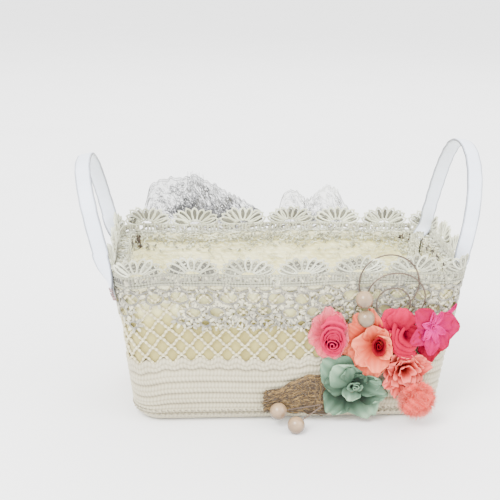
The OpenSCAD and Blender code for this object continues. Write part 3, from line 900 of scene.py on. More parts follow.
def eyelets():
    """Small clusters of dark brown knots: painted shade where the lace has its open eyelets."""
    s = Shells()
    r = np.random.default_rng(1300)
    for x, y, z in EYELET_SHADE_SPOTS:
        u0 = nearest_u(x, y)
        for _ in range(10):
            high = z + 1.5 * r.normal()
            at, normal = wall(u0 + 1.6 * r.normal() / 700, min(high, 105.2), -8.0)
            along = unit(UP + 0.8 * r.normal() * np.cross(normal, UP))
            knot(s, at, along, normal, (1.1 + 0.5 * r.random(), 0.6, 0.4), r.random())
    return s.build("eyelet_knots", eyelet_shade_mat, warp=slack)


# nearly black brown thread, for the painted shade in the eyelets
eyelet_shade_mat = yarn("eyelet_shade_thread", (0.006, 0.004, 0.003), (0.030, 0.019, 0.013), (0.10, 0.065, 0.045), 900, 0.5)
knots = piece(eyelets(), "lace")
turned = piece(turned_lace(), "lace")
fans = piece(standing_lace(), "lace", "lace_trim")


# ---------------------------------------------------------------- handles

def satin(name, dark, mid, light):
    """Smooth padded cloth, with painted shade in its seams and along its edges, where the strap gives low
    tones.
    """
    n = Nodes(name)
    weave = n.noise(1500, 3, 0.6)
    cloud = n.noise(55, 3, 0.6)
    height = n.sum(n.tone(), 0.8, cloud, 0.2)
    n.bump(weave, 0.18, 0.0003)
    return n.done(n.ramp(height, [(0.3, dark), (0.55, mid), (0.85, light)]), Roughness=0.5, Sheen_Weight=0.2)


strap_mat = satin("strap_satin", (0.10, 0.105, 0.12), (0.62, 0.67, 0.77), (0.84, 0.89, 0.99))
stitch_pink = plain_grain("stitch_thread", (0.10, 0.06, 0.06), (0.42, 0.28, 0.27), 1500, 0.8)


STRAP_WIDTH, STRAP_THICKNESS = 11.0, 2.5
STRAP_FOOT_Z = 123.0                # where the arch starts, above the sewn end
SEAM = 0.76                         # of the half width: where the seam runs


def strap(name, side, leg, foot_x, reach, height, lean, round_y, round_z, bow, seed):
    """One padded strap from its front sewn end over the arch to its back one, with a seam near each edge.
    The arch is a superellipse with the powers round_y and round_z, leaning out and bowed sideways."""
    lean = math.radians(lean)
    a = np.linspace(0, math.pi, 4001)
    y = -reach * np.sign(np.cos(a)) * np.abs(np.cos(a)) ** round_y
    v = height * np.sin(a) ** round_z
    x = foot_x + v * math.sin(lean) + bow * 4 * (v / height) * (1 - v / height)
    z = STRAP_FOOT_Z + v * math.cos(lean)
    arch = np.stack([x, y, z], 1)
    run = np.concatenate([[0], np.cumsum(np.linalg.norm(np.diff(arch, axis=0), axis=1))])
    at = np.linspace(0, run[-1], 130)
    arch = np.stack([np.interp(at, run, column) for column in arch.T], 1)
    end = leg[0][0]
    zs = np.concatenate([end + np.array([0, 0.5, 1.1]), np.linspace(end + 2, 121.4, 26)])
    rows = smoothed(np.stack(station(leg, zs), 1))
    front = np.stack([rows[:, 1], -rows[:, 2], rows[:, 0]], 1)
    back = front[::-1] * [1, -1, 1]
    path = np.concatenate([front, arch, back])
    turn = np.radians(rows[:, 3])
    flat = np.stack([np.sin(turn), np.cos(turn), 0 * turn], 1)
    edge = np.tile([math.cos(lean), 0, -math.sin(lean)], (len(arch), 1))
    ease = smoothstep(arch[:, 2], 121, 134)[:, None]
    edge = unit(edge * ease + np.array([1.0, 0, 0]) * (1 - ease))
    wide = np.concatenate([flat, edge, flat[::-1] * [1, -1, 1]])
    width = np.concatenate([rows[:, 4], np.full(len(arch), STRAP_WIDTH), rows[::-1, 4]])
    thick = np.concatenate([rows[:, 5], np.full(len(arch), STRAP_THICKNESS), rows[::-1, 5]])
    n = len(path)
    q = np.linspace(0, 1, n)
    t = unit(np.gradient(path, axis=0))
    wide = unit(wide - t * np.sum(wide * t, axis=1, keepdims=True))
    normal = np.cross(t, wide)
    # the cross-section: a cushion with a seam near each edge and a thin rim
    thick = thick * (1 + 0.07 * waves(q, seed, 9, 40))
    width = width * (1 + 0.02 * waves(q, seed + 1, 5, 30))
    across = np.array([-1, -0.97, -0.92, *np.linspace(-0.86, 0.86, 17), 0.92, 0.97, 1])
    arms = np.concatenate([across, across[::-1][1:-1]])
    sign = np.concatenate([np.ones(len(across)), -np.ones(len(across) - 2)])
    off = np.abs(arms)
    swell = (1 - off ** 5) ** 0.5 * 0.92 + 0.08
    swell -= 0.3 * np.exp(-((off - SEAM) / 0.07) ** 2)
    swell[[0, len(across) - 1]] = 0.0
    pucker = 1 + 0.10 * np.sin(q * n * 1.9)[:, None] * np.exp(-((off - SEAM) / 0.12) ** 2)[None]
    rings = (path[:, None] + wide[:, None] * (arms[None, :, None] * width[:, None, None] / 2)
             + normal[:, None] * ((sign * swell)[None, :] * pucker * thick[:, None] / 2)[..., None])
    rings[..., 0] *= side
    faces = ring_quads(n, len(arms), False)
    caps = [list(range(len(arms)))[::-1], [(n - 1) * len(arms) + i for i in range(len(arms))]]
    faces = faces.tolist() + caps
    if side < 0:
        faces = [f[::-1] for f in faces]
    s = Shells()
    # painted shade: a dark line near each seam and a dark rim along both edges
    rim = smoothstep(off, 0.9, 0.97)
    s.add(rings, faces, np.tile(0.78 - 0.5 * np.exp(-((off - 0.86) / 0.045) ** 2) - 0.78 * rim, n))
    obj = s.build(name, strap_mat)
    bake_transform(obj)
    return obj


left_strap = strap("left_strap", -1, LEFT_LEG, foot_x=128.9, reach=50.6, height=55.7, lean=13.9,
                   round_y=0.75, round_z=0.85, bow=0.1, seed=81)
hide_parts("left_handle_sleeve", "left_handle_core", "left_front_anchor", "left_back_anchor")
right_strap = strap("right_strap", 1, RIGHT_LEG, foot_x=118.4, reach=51.3, height=66.6, lean=8.6,
                    round_y=0.91, round_z=0.88, bow=1.3, seed=91)
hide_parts("right_handle_sleeve", "right_handle_core", "right_front_anchor", "right_back_anchor")


def end_stitches():
    """Short rows of hand stitches through each sewn strap end, and overcast ones round the left ends."""
    s = Shells()
    r = np.random.default_rng(95)
    dip = np.array([-0.35, 0.1, 0.1, -0.35])[:, None]

    def stitch(mid, along, out, flip):
        path = mid + np.linspace(-0.6, 0.6, 4)[:, None] * along + dip * out
        tube(s, path * flip, 0.26, 5, tone=0.5)

    places = [-3.9 + 1.55 * i for i in range(6)]
    for front in (-1, 1):
        for z in (91.6, 94.2, 97.4):
            for y in places:
                if z < 92 and abs(y) > 3.2:
                    continue
                _, x, y0, turn, _, thick = station(LEFT_LEG, z)
                out, along = leg_directions(turn)
                mid = np.array([x, -y0, z]) + along * y + out * (thick / 2 + 0.12)
                stitch(mid, along + UP * 0.25 * r.normal(), out, [-1, -front, 1])
        for z in np.arange(90.4, 99.5, 0.95):
            _, x, y0, _, width, _ = station(LEFT_LEG, z)
            half = width / 2
            for edge in (-1, 1):
                p = np.array([[x + o, -y0 + edge * y, z + 0.25 * r.normal()] for o, y in
                              ((1.3, half - 1.6), (1.1, half - 0.4), (0.2, half + 0.45), (-1.0, half + 0.2))])
                tube(s, p * [-1, -front, 1], 0.36, 5, tone=0.2)
        for z in (88.5, 91.5, 94.5):
            x, y0 = inside_place(z)
            out, along = leg_directions(INSIDE_TURN)
            for y in places:
                stitch(np.array([x, -y0, z]) + along * y - out * 1.25, along, -out, [1, -front, 1])
    return s.build("end_stitches", stitch_pink)


piece(end_stitches(), "stitch_thread", "anchor_stitching")


# ---------------------------------------------------------------- tulle

def tulle_mat(name, colour, clear):
    """Fine see-through net."""
    n = Nodes(name)
    mesh = n.noise(1400, 3, 0.7)
    tint = n.ramp(n.noise(60, 3, 0.6), [(0.3, tuple(c * 0.86 for c in colour)), (0.7, colour)])
    n.bump(mesh, 0.3, 0.0003)
    return n.done(tint, Roughness=0.8, Alpha=clear, Sheen_Weight=0.3)


TULLE_FOOT = 94  # height of the seam that holds the tulle


def gathered(name, outline, tone_mat, thread_mat, seed, fibres, spike=0.0):
    """A bunch of net sewn outside the back wall, standing in folds behind the lace, with loose threads on it.
    outline is its upper edge, and spike the place of a tuft of threads."""
    outline = np.array(outline, float)
    x = np.linspace(outline[0, 0], outline[-1, 0], 90)
    top = smoothed(np.interp(x, outline[:, 0], outline[:, 1]))
    start, width = outline[0, 0], outline[-1, 0] - outline[0, 0]
    q = (x - x[0]) / (x[-1] - x[0])
    top = top + 0.9 * waves(q, seed, 10, 26)

    def place(q, t):
        xx = start + width * q
        tip = np.interp(q, np.linspace(0, 1, 90), top)
        z = TULLE_FOOT + (tip - TULLE_FOOT) * t
        z = z + (1 - t) ** 4 * (1.6 * np.sin(q * 31 + seed) + 0.8 * np.sin(q * 83))
        middle = (outline[0, 0] + outline[-1, 0]) / 2
        xx = middle + (xx - middle) * (0.6 + 0.4 * np.minimum(t * 1.25, 1) ** 1.2)
        fold = np.sin(CIRCLE * q * (5.5 + 0.6 * np.sin(3 * t + seed))) * (0.6 + 1.1 * t ** 1.6)
        fold = fold + 0.55 * np.sin(CIRCLE * q * 17 + 2 * np.sin(2 * t + seed)) * (1 - 0.6 * t)
        y = half_sizes(106.0)[1] + 3.6 + 1.6 * t + fold
        return np.stack([xx, y, z], -1)

    s = Shells()
    shell(s, place(*np.meshgrid(np.linspace(0, 1, 90), np.linspace(0, 1, 26))), 0.25)
    sheet = s.build(name, tone_mat)
    s = Shells()
    r = np.random.default_rng(seed)
    for back in (0.0, 0.03):
        qs = np.linspace(0.01, 0.99, 150)
        p = place(qs, 1 - back - 0.008 * (1 + np.sin(qs * 70 + 9 * back)))
        p[:, 1] -= 0.25 + 0.25 * np.sin(qs * 60 + back * 90)
        tube(s, p, 0.2, 4, tone=0.55 + 0.3 * r.random())
    for i in range(fibres):
        q0 = np.clip(0.56 + 0.27 * r.normal(), 0.03, 0.97)
        t0 = 0.46 + 0.46 * r.random() ** 2.2
        turn, size = r.random() * CIRCLE, 2.0 + 4.0 * r.random()
        w = np.linspace(0, 1, 14)
        qs = q0 + size * (math.cos(turn) * w + 0.35 * np.sin(w * 8 + i)) / width
        ts = t0 + size * (math.sin(turn) * w + 0.35 * np.cos(w * 9 + i)) / 50
        p = place(np.clip(qs, 0.005, 0.995), np.clip(ts, 0.3, 0.985))
        p[:, 1] -= (0.3 + 0.4 * r.random()) * (1 if i % 5 else -1)
        tube(s, p, 0.11 + 0.10 * r.random(), 3, tone=r.random())
    if spike:
        for i in range(14):
            base = place(0.37 + 0.011 * i, 0.78 + 0.12 * r.random())
            tip = np.array([spike + 0.9 * i - 6, base[1] - 1.5 * r.random(), 153 - 5 * r.random()])
            w = np.linspace(0, 1, 9)[:, None]
            p = base * (1 - w) + tip * w + np.sin(w * 9 + i) * [0.35, 0.2, 0]
            tube(s, p, np.linspace(0.3, 0.12, 9), 4, tone=0.3)
    hairs = s.build(name + "_threads", thread_mat)
    return sheet, hairs


grey_net = tulle_mat("tulle_grey", (0.50, 0.51, 0.53), 0.24)
white_net = tulle_mat("tulle_white", (0.80, 0.80, 0.78), 0.18)
grey_thread = plain_grain("tulle_thread_grey", (0.05, 0.05, 0.052), (0.30, 0.30, 0.31), 500, 0.8)
white_thread = plain_grain("tulle_thread_white", (0.22, 0.22, 0.22), (0.60, 0.60, 0.60), 500, 0.8)
net_l, hair_l = gathered(
    "tulle_left_sheet",
    [(-103, 122), (-99, 139), (-94, 145), (-86, 147), (-71, 148), (-63, 150), (-56, 146), (-48, 142),
     (-36, 135), (-21, 127), (-11, 120)], grey_net, grey_thread, 101, 900, spike=-63)
net_r, hair_r = gathered(
    "tulle_right_sheet",
    [(3, 122), (6, 133), (10, 138), (18, 136), (25, 129), (34, 136), (40, 142), (49, 138), (54, 128),
     (59, 122)], white_net, white_thread, 111, 260)
for net, hair, node, size in ((net_l, hair_l, "tulle_left", (0.052, 0.105)),
                              (net_r, hair_r, "tulle_right", (0.040, 0.062))):
    piece(net, "tulle", node)
    piece(hair, "tulle")


# ---------------------------------------------------------------- corsage

class Spot:
    """A place on the front wall, with its own right, up and forward directions."""

    def __init__(self, x, z, out, turn=0.0, lift=0.0, scale=(1, 1)):
        turn, lift = math.radians(turn), math.radians(lift)
        self.at = np.array([x, -half_sizes(z)[1] - out, z])
        ahead = unit(np.array([math.sin(turn), -math.cos(turn), math.tan(lift) - 0.067]))
        right = unit(np.cross(ahead, UP)) * -1
        up = np.cross(ahead, right) * -1
        up = up if up[2] > 0 else -up
        self.right, self.up, self.ahead = right * scale[0], up * scale[1], ahead

    def put(self, x, y, h):
        x, y, h = np.broadcast_arrays(x, y, h)
        return self.at + x[..., None] * self.right + y[..., None] * self.up + h[..., None] * self.ahead


def open_petal(s, spot, angle, start, length, width, cup=0.0, curl=0.0, ruffle=0.0, waves_n=2.5, lift=0.0,
               fold=0.0, shape=1.25, seed=0, tone=(0.1, 0.95), thickness=0.45):
    """A petal that lies out from the middle of its flower: cup bends it forward, curl rolls its edge back."""
    r = np.random.default_rng(seed)
    t = np.linspace(0, 1, 15)[:, None]
    v = np.linspace(-1, 1, 17)[None]
    half = width / 2 * np.maximum(np.sin(math.pi * (0.07 + 0.86 * t ** (shape + 0.35))), 0.02) ** 0.42
    a = math.radians(angle)
    reach = start + length * t * (1 - 0.27 * np.abs(v) ** 3.4 * t)
    reach = reach + 0.35 * ruffle * t * np.sin(v * 7 + r.random() * 6)
    phase = r.random() * 6.28
    h = lift + cup * t ** 1.6 + fold * v ** 2 * (0.3 + 0.7 * t) - curl * smoothstep(t, 0.55, 1.0) ** 1.5
    h = h + ruffle * t ** 1.7 * np.sin(v * math.pi * waves_n + phase) + 0.25 * np.sin(v * 11 + t * 5 + phase)
    side = v * half
    x = math.cos(a) * reach - math.sin(a) * side
    y = math.sin(a) * reach + math.cos(a) * side
    # painted shade: tone lowest at the petal's foot and dipping along the ruffle creases
    crease_shade = 0.10 * np.cos(v * math.pi * waves_n * 2 + phase)
    tones = np.clip(tone[0] + (tone[1] - tone[0]) * (t ** 0.8) + crease_shade * t + 0.05 * r.normal(), 0, 1)
    shell(s, spot.put(x, y, h), thickness, tones + 0 * v)


def open_petals(s, spot, start, seed, columns, rows, **same):
    """Open petals from a table whose columns after the angle, length and width are named.
    dark and edge are the tones at a petal's foot and at its edge."""
    same.setdefault("dark", 0.0)
    for i, (angle, length, width, *more) in enumerate(rows):
        own = {**same, **dict(zip(columns.split(), more))}
        tone = own.pop("dark"), own.pop("edge")
        open_petal(s, spot, angle, start, length, width, seed=seed + i, tone=tone, **own)


def wrapped_petal(s, spot, angle, radius, span, height, flare=1.0, ruffle=0.2, seed=0, tone=(0.1, 0.9)):
    """A petal that stands round the middle of a rose and rolls outwards at its edge."""
    r = np.random.default_rng(seed)
    t = np.linspace(0, 1, 12)[:, None]
    v = np.linspace(-1, 1, 19)[None]
    a = math.radians(angle) + math.radians(span) / 2 * v * (0.75 + 0.25 * np.sin(math.pi * t * 0.6))
    phase = r.random() * 6.28
    rad = radius * (0.42 + 0.58 * t ** 0.6) + flare * smoothstep(t, 0.6, 1.0) ** 1.3 * (1 - 0.3 * v ** 2)
    rad = rad + ruffle * t * np.sin(v * 6 + phase)
    h = height * (t - 0.12 * smoothstep(t, 0.75, 1) ** 2 * flare) * (1 - 0.28 * v ** 2 * t)
    # painted shade: darkest at the foot of the petal, deep in the flower
    tones = np.clip(tone[0] + (tone[1] - tone[0]) * t ** 1.4 + 0.05 * np.sin(v * 9 + phase), 0, 1)
    shell(s, spot.put(rad * np.cos(a), rad * np.sin(a), h), 0.45, tones)


def rolled_heart(s, spot, inner, outer, turns, height, seed=0, tone=(0.0, 0.8)):
    """A strip of cloth rolled into a spiral."""
    r = np.random.default_rng(seed)
    q = np.linspace(0, 1, int(34 * turns))[None]
    t = np.linspace(0, 1, 6)[:, None]
    a = CIRCLE * turns * q + r.random() * 6
    rad = inner + (outer - inner) * q + 0.2 * np.sin(3.1 * a) * t + 0.5 * (t - 0.5)
    h = height * t * (1 - 0.35 * q) + 0.3 * np.sin(2.3 * a) * t
    # painted shade: darkest at the foot of the roll and on its inner turns
    tones = np.clip(tone[0] + (tone[1] - tone[0]) * t ** 1.6 + 0.1 * q, 0, 1)
    shell(s, spot.put(rad * np.cos(a), rad * np.sin(a), h), 0.42, tones)


def frill(s, spot, radius, inner, height, lobes, depth, seed, tone):
    """A gathered strip of cloth: tight at its foot and ruffled at its edge."""
    r = np.random.default_rng(seed)
    n = 163
    a = np.radians(360 * np.arange(n) / n)[None]
    t = np.linspace(0, 1, 9)[:, None]
    phase = 0.5 * np.sin(3 * a + r.random() * 6) + 0.4 * np.sin(2 * a + r.random() * 6)
    wave = np.sin(lobes * a + phase * 2)
    rad = inner + (radius - inner) * t ** 0.9 * (1 + 0.08 * np.sin(2 * lobes * a)) + 0.5 * depth * wave * t
    h = height * t ** 1.3 * 0.6 + depth * wave * t ** 1.3 + 0.3 * depth * np.sin(3 * lobes * a + phase) * t ** 2
    # painted light and shade: darkest at the foot, lighter on the crests of the ruffle and darker in its
    # troughs
    tones = np.clip(tone[0] + (tone[1] - tone[0]) * t + 0.14 * wave * t, 0, 1)
    shell(s, spot.put(rad * np.cos(a), rad * np.sin(a), h), 0.4, tones, wrap=True)


def around(s, spot, rows, seed, **same):
    """Standing petals round a middle, from rows of angle, radius, span and height."""
    for i, (angle, radius, span, height) in enumerate(rows):
        wrapped_petal(s, spot, angle, radius, span, height, seed=seed + i, **same)


pink_core_mat = petal("pink_core", [
    (0, (0.13, 0.0008, 0.011)), (0.4, (0.33, 0.003, 0.036)), (1, (0.60, 0.014, 0.085))])
pink_outer_mat = petal("pink_outer", [
    (0, (0.46, 0.010, 0.055)), (0.5, (0.70, 0.055, 0.11)), (1, (0.80, 0.16, 0.20))], clear=0.45)
peach_mat = petal("peach_cloth", [
    (0, (0.10, 0.001, 0.002)), (0.24, (0.27, 0.012, 0.008)), (0.55, (0.50, 0.064, 0.030)),
    (1, (0.84, 0.23, 0.13))])
heart_mat = petal("red_heart", [
    (0, (0.02, 0.0002, 0.001)), (0.5, (0.09, 0.0006, 0.004)), (1, (0.24, 0.002, 0.010))])
hot_mat = petal("hot_pink_cloth", [
    (0, (0.10, 0.0003, 0.007)), (0.35, (0.25, 0.0008, 0.019)), (0.7, (0.36, 0.0012, 0.031)),
    (1, (0.54, 0.004, 0.064))])
magenta_mat = petal("magenta_cloth", [
    (0, (0.16, 0.001, 0.025)), (0.3, (0.58, 0.012, 0.20)), (0.55, (0.38, 0.002, 0.080)),
    (1, (0.30, 0.0012, 0.034))])
carnation_mat = petal("carnation_cloth", [
    (0, (0.05, 0.0005, 0.002)), (0.3, (0.18, 0.006, 0.008)), (0.65, (0.46, 0.055, 0.043)),
    (1, (0.80, 0.18, 0.145))])
puff_mat = petal("coral_fluff", [
    (0, (0.44, 0.030, 0.022)), (0.5, (0.60, 0.070, 0.054)), (1, (0.84, 0.18, 0.14))])
mint_mat = petal("mint_cloth", [
    (0, (0.006, 0.010, 0.007)), (0.35, (0.030, 0.054, 0.035)), (0.7, (0.105, 0.180, 0.118)),
    (1, (0.270, 0.400, 0.270))])


def pink_rose():
    """The pale rose at the left: a rolled bud with sheer petals about it."""
    s = Shells()
    spot = Spot(26.6, 70.0, 3.0, turn=-8, lift=4, scale=(0.95, 1.22))
    open_petals(s, spot, 3.0, 200, "lift", [
        (195, 13.5, 16, 0.5), (245, 13, 17, 0.8), (150, 12, 15, 1.1), (290, 13, 17, 1.4), (335, 11, 15, 1.7),
        (20, 10, 14, 2.0), (100, 13, 14, 2.3), (60, 11, 14, 2.6)],
        cup=3.5, curl=2.0, ruffle=0.8, dark=0.1, edge=0.95, thickness=0.3)
    piece(s.build("pink_rose_veil", pink_outer_mat), "pink_petal", "pink_rose_petals")
    s = Shells()
    rolled_heart(s, Spot(28.2, 63.0, 4.5, turn=-8, lift=2, scale=(0.95, 0.85)), 0.5, 6.4, 2.6, 8.4, seed=201,
                 tone=(0.0, 0.75))
    core = Spot(28.4, 66, 3.6, turn=-8, lift=2, scale=(0.92, 1.2))
    rows = [(90, 3.6, 200, 9.2), (90, 5.6, 180, 9.6), (215, 7.0, 120, 7.6), (320, 7.0, 120, 7.8),
            (150, 8.2, 120, 9.0), (30, 8.2, 120, 9.0), (265, 8.6, 130, 6.4), (90, 8.4, 130, 10.6),
            (90, 12.2, 100, 11.6)]
    for i, row in enumerate(rows):
        wrapped_petal(s, core, *row, flare=1.3, seed=210 + i, tone=(0.05, 0.5 + 0.055 * i))
    open_petal(s, Spot(28.2, 66.5, 10.5, turn=-8, lift=2), 90, 0.0, 19, 15, cup=1.0, curl=5.5, ruffle=0.3,
               fold=-3.4, seed=219, shape=0.9, tone=(0.25, 0.95))
    piece(s.build("pink_rose_core", pink_core_mat), "rose_bud", "pink_rose_bud")


def peach_rose():
    """The large open rose in the middle: two rings of peach petals about a red heart."""
    s = Shells()
    spot = Spot(56.5, 61.5, 4.2, turn=-6, lift=-2)
    rows = [(98, 26, 15, 4.5, 0.8, 0.5), (120, 25, 17, 4.0, 0.9, 0.6), (143, 22, 19, 4.5, 0.8, 0.5),
            (170, 20, 20, 4.6, 0.8, 0.4), (197, 21, 21, 4.2, 0.9, 0.3), (223, 22, 20, 4.8, 1.2, 0.2),
            (246, 23, 20, 5.4, 2.0, 0.3), (268, 27, 20, 6.4, 2.4, 0.4), (296, 18, 17, 6.0, 2.4, 0.2),
            (330, 13, 15, 6.5, 1.4, 0.4), (10, 10, 13, 7.0, 1.2, 0.5), (60, 13, 14, 6.0, 1.0, 0.5)]
    for i, (angle, length, width, cup, ruff, up) in enumerate(rows):
        open_petal(s, spot, angle, 1.6, length, width, cup=cup, curl=2.6, ruffle=0.36 * ruff, waves_n=3.0,
                   seed=300 + i, lift=up + 0.28 * (i % 3), shape=1.0, tone=(0.16, 0.9))
    inner = Spot(59.5, 61.5, 4.8, turn=-6, lift=-2)
    open_petals(s, inner, 1.5, 330, "cup", [
        (172, 17, 19, 6.5), (222, 18, 19, 7.0), (268, 18, 18, 8.0), (325, 9, 13, 9.0), (112, 16, 16, 7.0),
        (50, 9, 12, 8.5)],
        curl=1.6, ruffle=0.45, waves_n=2.0, fold=0.8, lift=0.8, shape=0.9, dark=0.02, edge=1.0)
    for i, x in enumerate((65.5, 68.0)):
        open_petal(s, Spot(x, 52, 6.0 + i, turn=8), 92, 0.0, 19, 7, cup=3.0, curl=1.0, ruffle=1.0, waves_n=2.2,
                   seed=340 + i, shape=0.6, tone=(0.3, 0.8))
    piece(s.build("peach_rose_cup", peach_mat), "peach_petal", "peach_rose_petals")
    s = Shells()
    heart = Spot(60.2, 61.5, 5.6, turn=-10, scale=(0.8, 1.2))
    rolled_heart(s, heart, 0.4, 3.4, 1.8, 5.2, seed=350)
    around(s, heart, [(angle, 4.8, 120, 6.6) for angle in (40, 130, 220, 310)], 352, flare=1.4, tone=(0.0, 1.0))
    piece(s.build("peach_rose_core", heart_mat), "red_heart", "peach_rose_heart")


def hot_blossom():
    """The left blossom: a broad hood at its top left and rolled folds at its bottom."""
    s = Shells()
    spot = Spot(74.0, 71.0, 4.8, turn=-4, lift=3)
    open_petals(s, spot, 1.0, 400, "cup curl lift edge dark", [
        (122, 18, 21, 3.6, 2.4, 1.8, 0.95, 0.42), (88, 17, 21, 4.0, 2.0, 2.4, 1.0, 0.42),
        (158, 14, 17, 4.0, 1.6, 1.2, 0.7), (190, 14, 18, 4.0, 1.6, 0.6, 0.62),
        (218, 17, 19, 4.0, 2.4, 0.2, 0.66), (246, 18, 19, 4.0, 2.6, 0.0, 0.6),
        (275, 13, 17, 5.0, 2.2, 0.8, 0.55), (310, 12, 15, 5.5, 2.0, 1.0, 0.6),
        (345, 13, 16, 6.0, 1.5, 1.2, 0.6)], ruffle=0.4, waves_n=1.6, fold=0.6, shape=1.0, dark=0.1)
    front = Spot(79.0, 70.0, 7.2, turn=-4, lift=6, scale=(0.95, 1.25))
    rows = [(236, 12.6, 130, 3.8), (222, 10.2, 150, 5.2), (240, 7.6, 170, 6.6), (226, 4.6, 200, 7.8)]
    for i, row in enumerate(rows):
        wrapped_petal(s, front, *row, flare=2.2, ruffle=0.5, seed=420 + i, tone=(0.0, 0.8 + 0.05 * (i % 3)))
    piece(s.build("left_blossom_folds", hot_mat), "hot_pink_petal",
          "left_blossom_petals", "left_blossom_centre")


def magenta_blossom():
    """The right blossom: broad round petals, pleated towards the middle, over a darker under-petal."""
    s = Shells()
    spot = Spot(96.0, 74.5, 5.4, turn=12, lift=3)
    under = dict(curl=0.8, ruffle=0.3, fold=0.6)
    open_petal(s, spot, 272, 3.0, 25, 19, cup=0.0, seed=500, lift=-0.8, tone=(0.0, 0.45), **under)
    open_petal(s, spot, 300, 3.0, 19, 16, cup=1.0, seed=501, lift=-0.4, tone=(0.0, 0.5), **under)
    piece(s.build("right_blossom_under", hot_mat), "magenta_petal")
    s = Shells()
    open_petals(s, spot, 0.8, 502, "cup curl lift edge dark", [
        (136, 20, 16, 4.6, 1.6, 2.6, 1.0, 0.75), (352, 20, 19, 3.0, 3.0, 1.2, 1.0),
        (28, 15, 15, 3.4, 2.0, 1.8, 0.8), (303, 18, 13, 4.0, 1.6, 1.8, 1.0),
        (262, 19, 12, 4.4, 1.4, 2.6, 0.7), (210, 19, 14, 4.4, 1.5, 1.4, 0.75)],
        ruffle=0.15, waves_n=1.5, fold=1.4, shape=1.35, dark=0.25)
    open_petals(s, Spot(95.6, 75.0, 8.0, turn=12, lift=4), 0.4, 520, "", [
        (64, 12, 6), (96, 11, 5), (160, 9, 5), (228, 11, 5), (284, 12, 5), (330, 10, 5)],
        cup=2.6, fold=1.6, ruffle=0.2, shape=0.9, dark=0.22, edge=0.5)
    piece(s.build("right_blossom_folds", magenta_mat), "magenta_petal", "right_blossom_petals")
    s = Shells()
    rolled_heart(s, Spot(95.4, 75.4, 9.0, turn=12, lift=4), 0.3, 1.8, 1.5, 3.0, seed=560, tone=(0.0, 0.4))
    tip = Shells()
    open_petal(tip, Spot(105.5, 82, 5.6, turn=12), 53, 0.0, 11.0, 3.8, cup=0.6, fold=1.2, seed=540, shape=-0.1,
               tone=(0.35, 0.6))
    piece(tip.build("right_blossom_tip", magenta_mat), "magenta_petal", "stem_tip")
    piece(s.build("right_blossom_heart", magenta_mat), "magenta_petal", "right_blossom_centre")


def carnation():
    """The ruffled carnation under the blossoms: four gathered strips and a ring of cupped petals."""
    s = Shells()
    spot = Spot(79.0, 42.0, 3.4, turn=4, lift=-4, scale=(1.02, 1.08))
    strips = [(14.0, 2.0, 6.0, 6, 1.7), (11.5, 1.6, 9.0, 5, 2.0), (8.5, 1.2, 12.0, 4, 2.0),
              (5.2, 0.8, 14.0, 3, 1.6)]
    for i, strip in enumerate(strips):
        frill(s, spot, *strip, seed=600 + i, tone=(0.0, 0.85 + 0.05 * i))
    open_petals(s, spot, 2.0, 610, "", [
        (75, 9.5, 15), (45, 14, 16), (110, 8, 13), (18, 16, 15), (248, 17, 13), (215, 16, 12), (285, 14, 12),
        (160, 12, 12)], cup=8.5, curl=2.5, ruffle=1.2, waves_n=2.2, lift=1.5, shape=1.0, edge=0.92)
    piece(s.build("carnation_frills", carnation_mat), "carnation_petal", "peach_carnation")


def puff():
    """A ball of fluff: a soft lumpy core, and short curling hairs in tufts."""
    centre = np.array([88.2, -71.0, 21.5])
    rows, columns = 22, 32
    r = np.random.default_rng(700)
    a = (math.pi * (np.arange(1, rows)) / rows)[:, None]
    b = (CIRCLE * np.arange(columns) / columns)[None]
    lump = 1 + 0.10 * np.sin(3 * a + 2 * b) + 0.08 * np.sin(5 * b + 4 * a) + 0.05 * np.sin(9 * a - 4 * b)
    d = np.stack([np.sin(a) * np.cos(b), np.sin(a) * np.sin(b), np.cos(a) + 0 * b], -1)
    core = d * lump[..., None] * [11.5, 8.0, 11.0]
    verts = np.concatenate([[[0, 0, 11.3]], core.reshape(-1, 3), [[0, 0, -10.8]]]) + centre
    s = Shells()
    s.add(verts, ball_faces(rows, columns), np.clip(0.45 + 0.3 * np.sin(verts[:, 0] * 0.8 + verts[:, 2]), 0, 1))
    piece(s.build("coral_puff_ball", puff_mat), "coral_fluff", "coral_puff")
    s = Shells()
    for _ in range(PUFF_HAIRS):
        d = unit(r.normal(size=3))
        if d[1] > 0.55:
            continue
        clump = unit(d + 0.35 * np.sin(4 * d + 2))
        side = unit(np.cross(clump, r.normal(size=3)))
        length = 2.2 + 3.0 * r.random() ** 2
        w = np.linspace(0, 1, 6)
        t = w[:, None]
        start = centre + d * [10.6, 7.4, 10.2]
        p = start + clump * length * t + side * 1.2 * t ** 2 + [0, 0, -0.7] * t ** 2
        p[:, 2] = np.maximum(p[:, 2], 0.4)
        tube(s, p, np.linspace(0.2, 0.05, 6), 3, tone=np.clip(0.35 + 0.65 * w + 0.1 * r.normal(), 0, 1))
    piece(s.build("coral_puff_hairs", puff_mat), "coral_fluff")


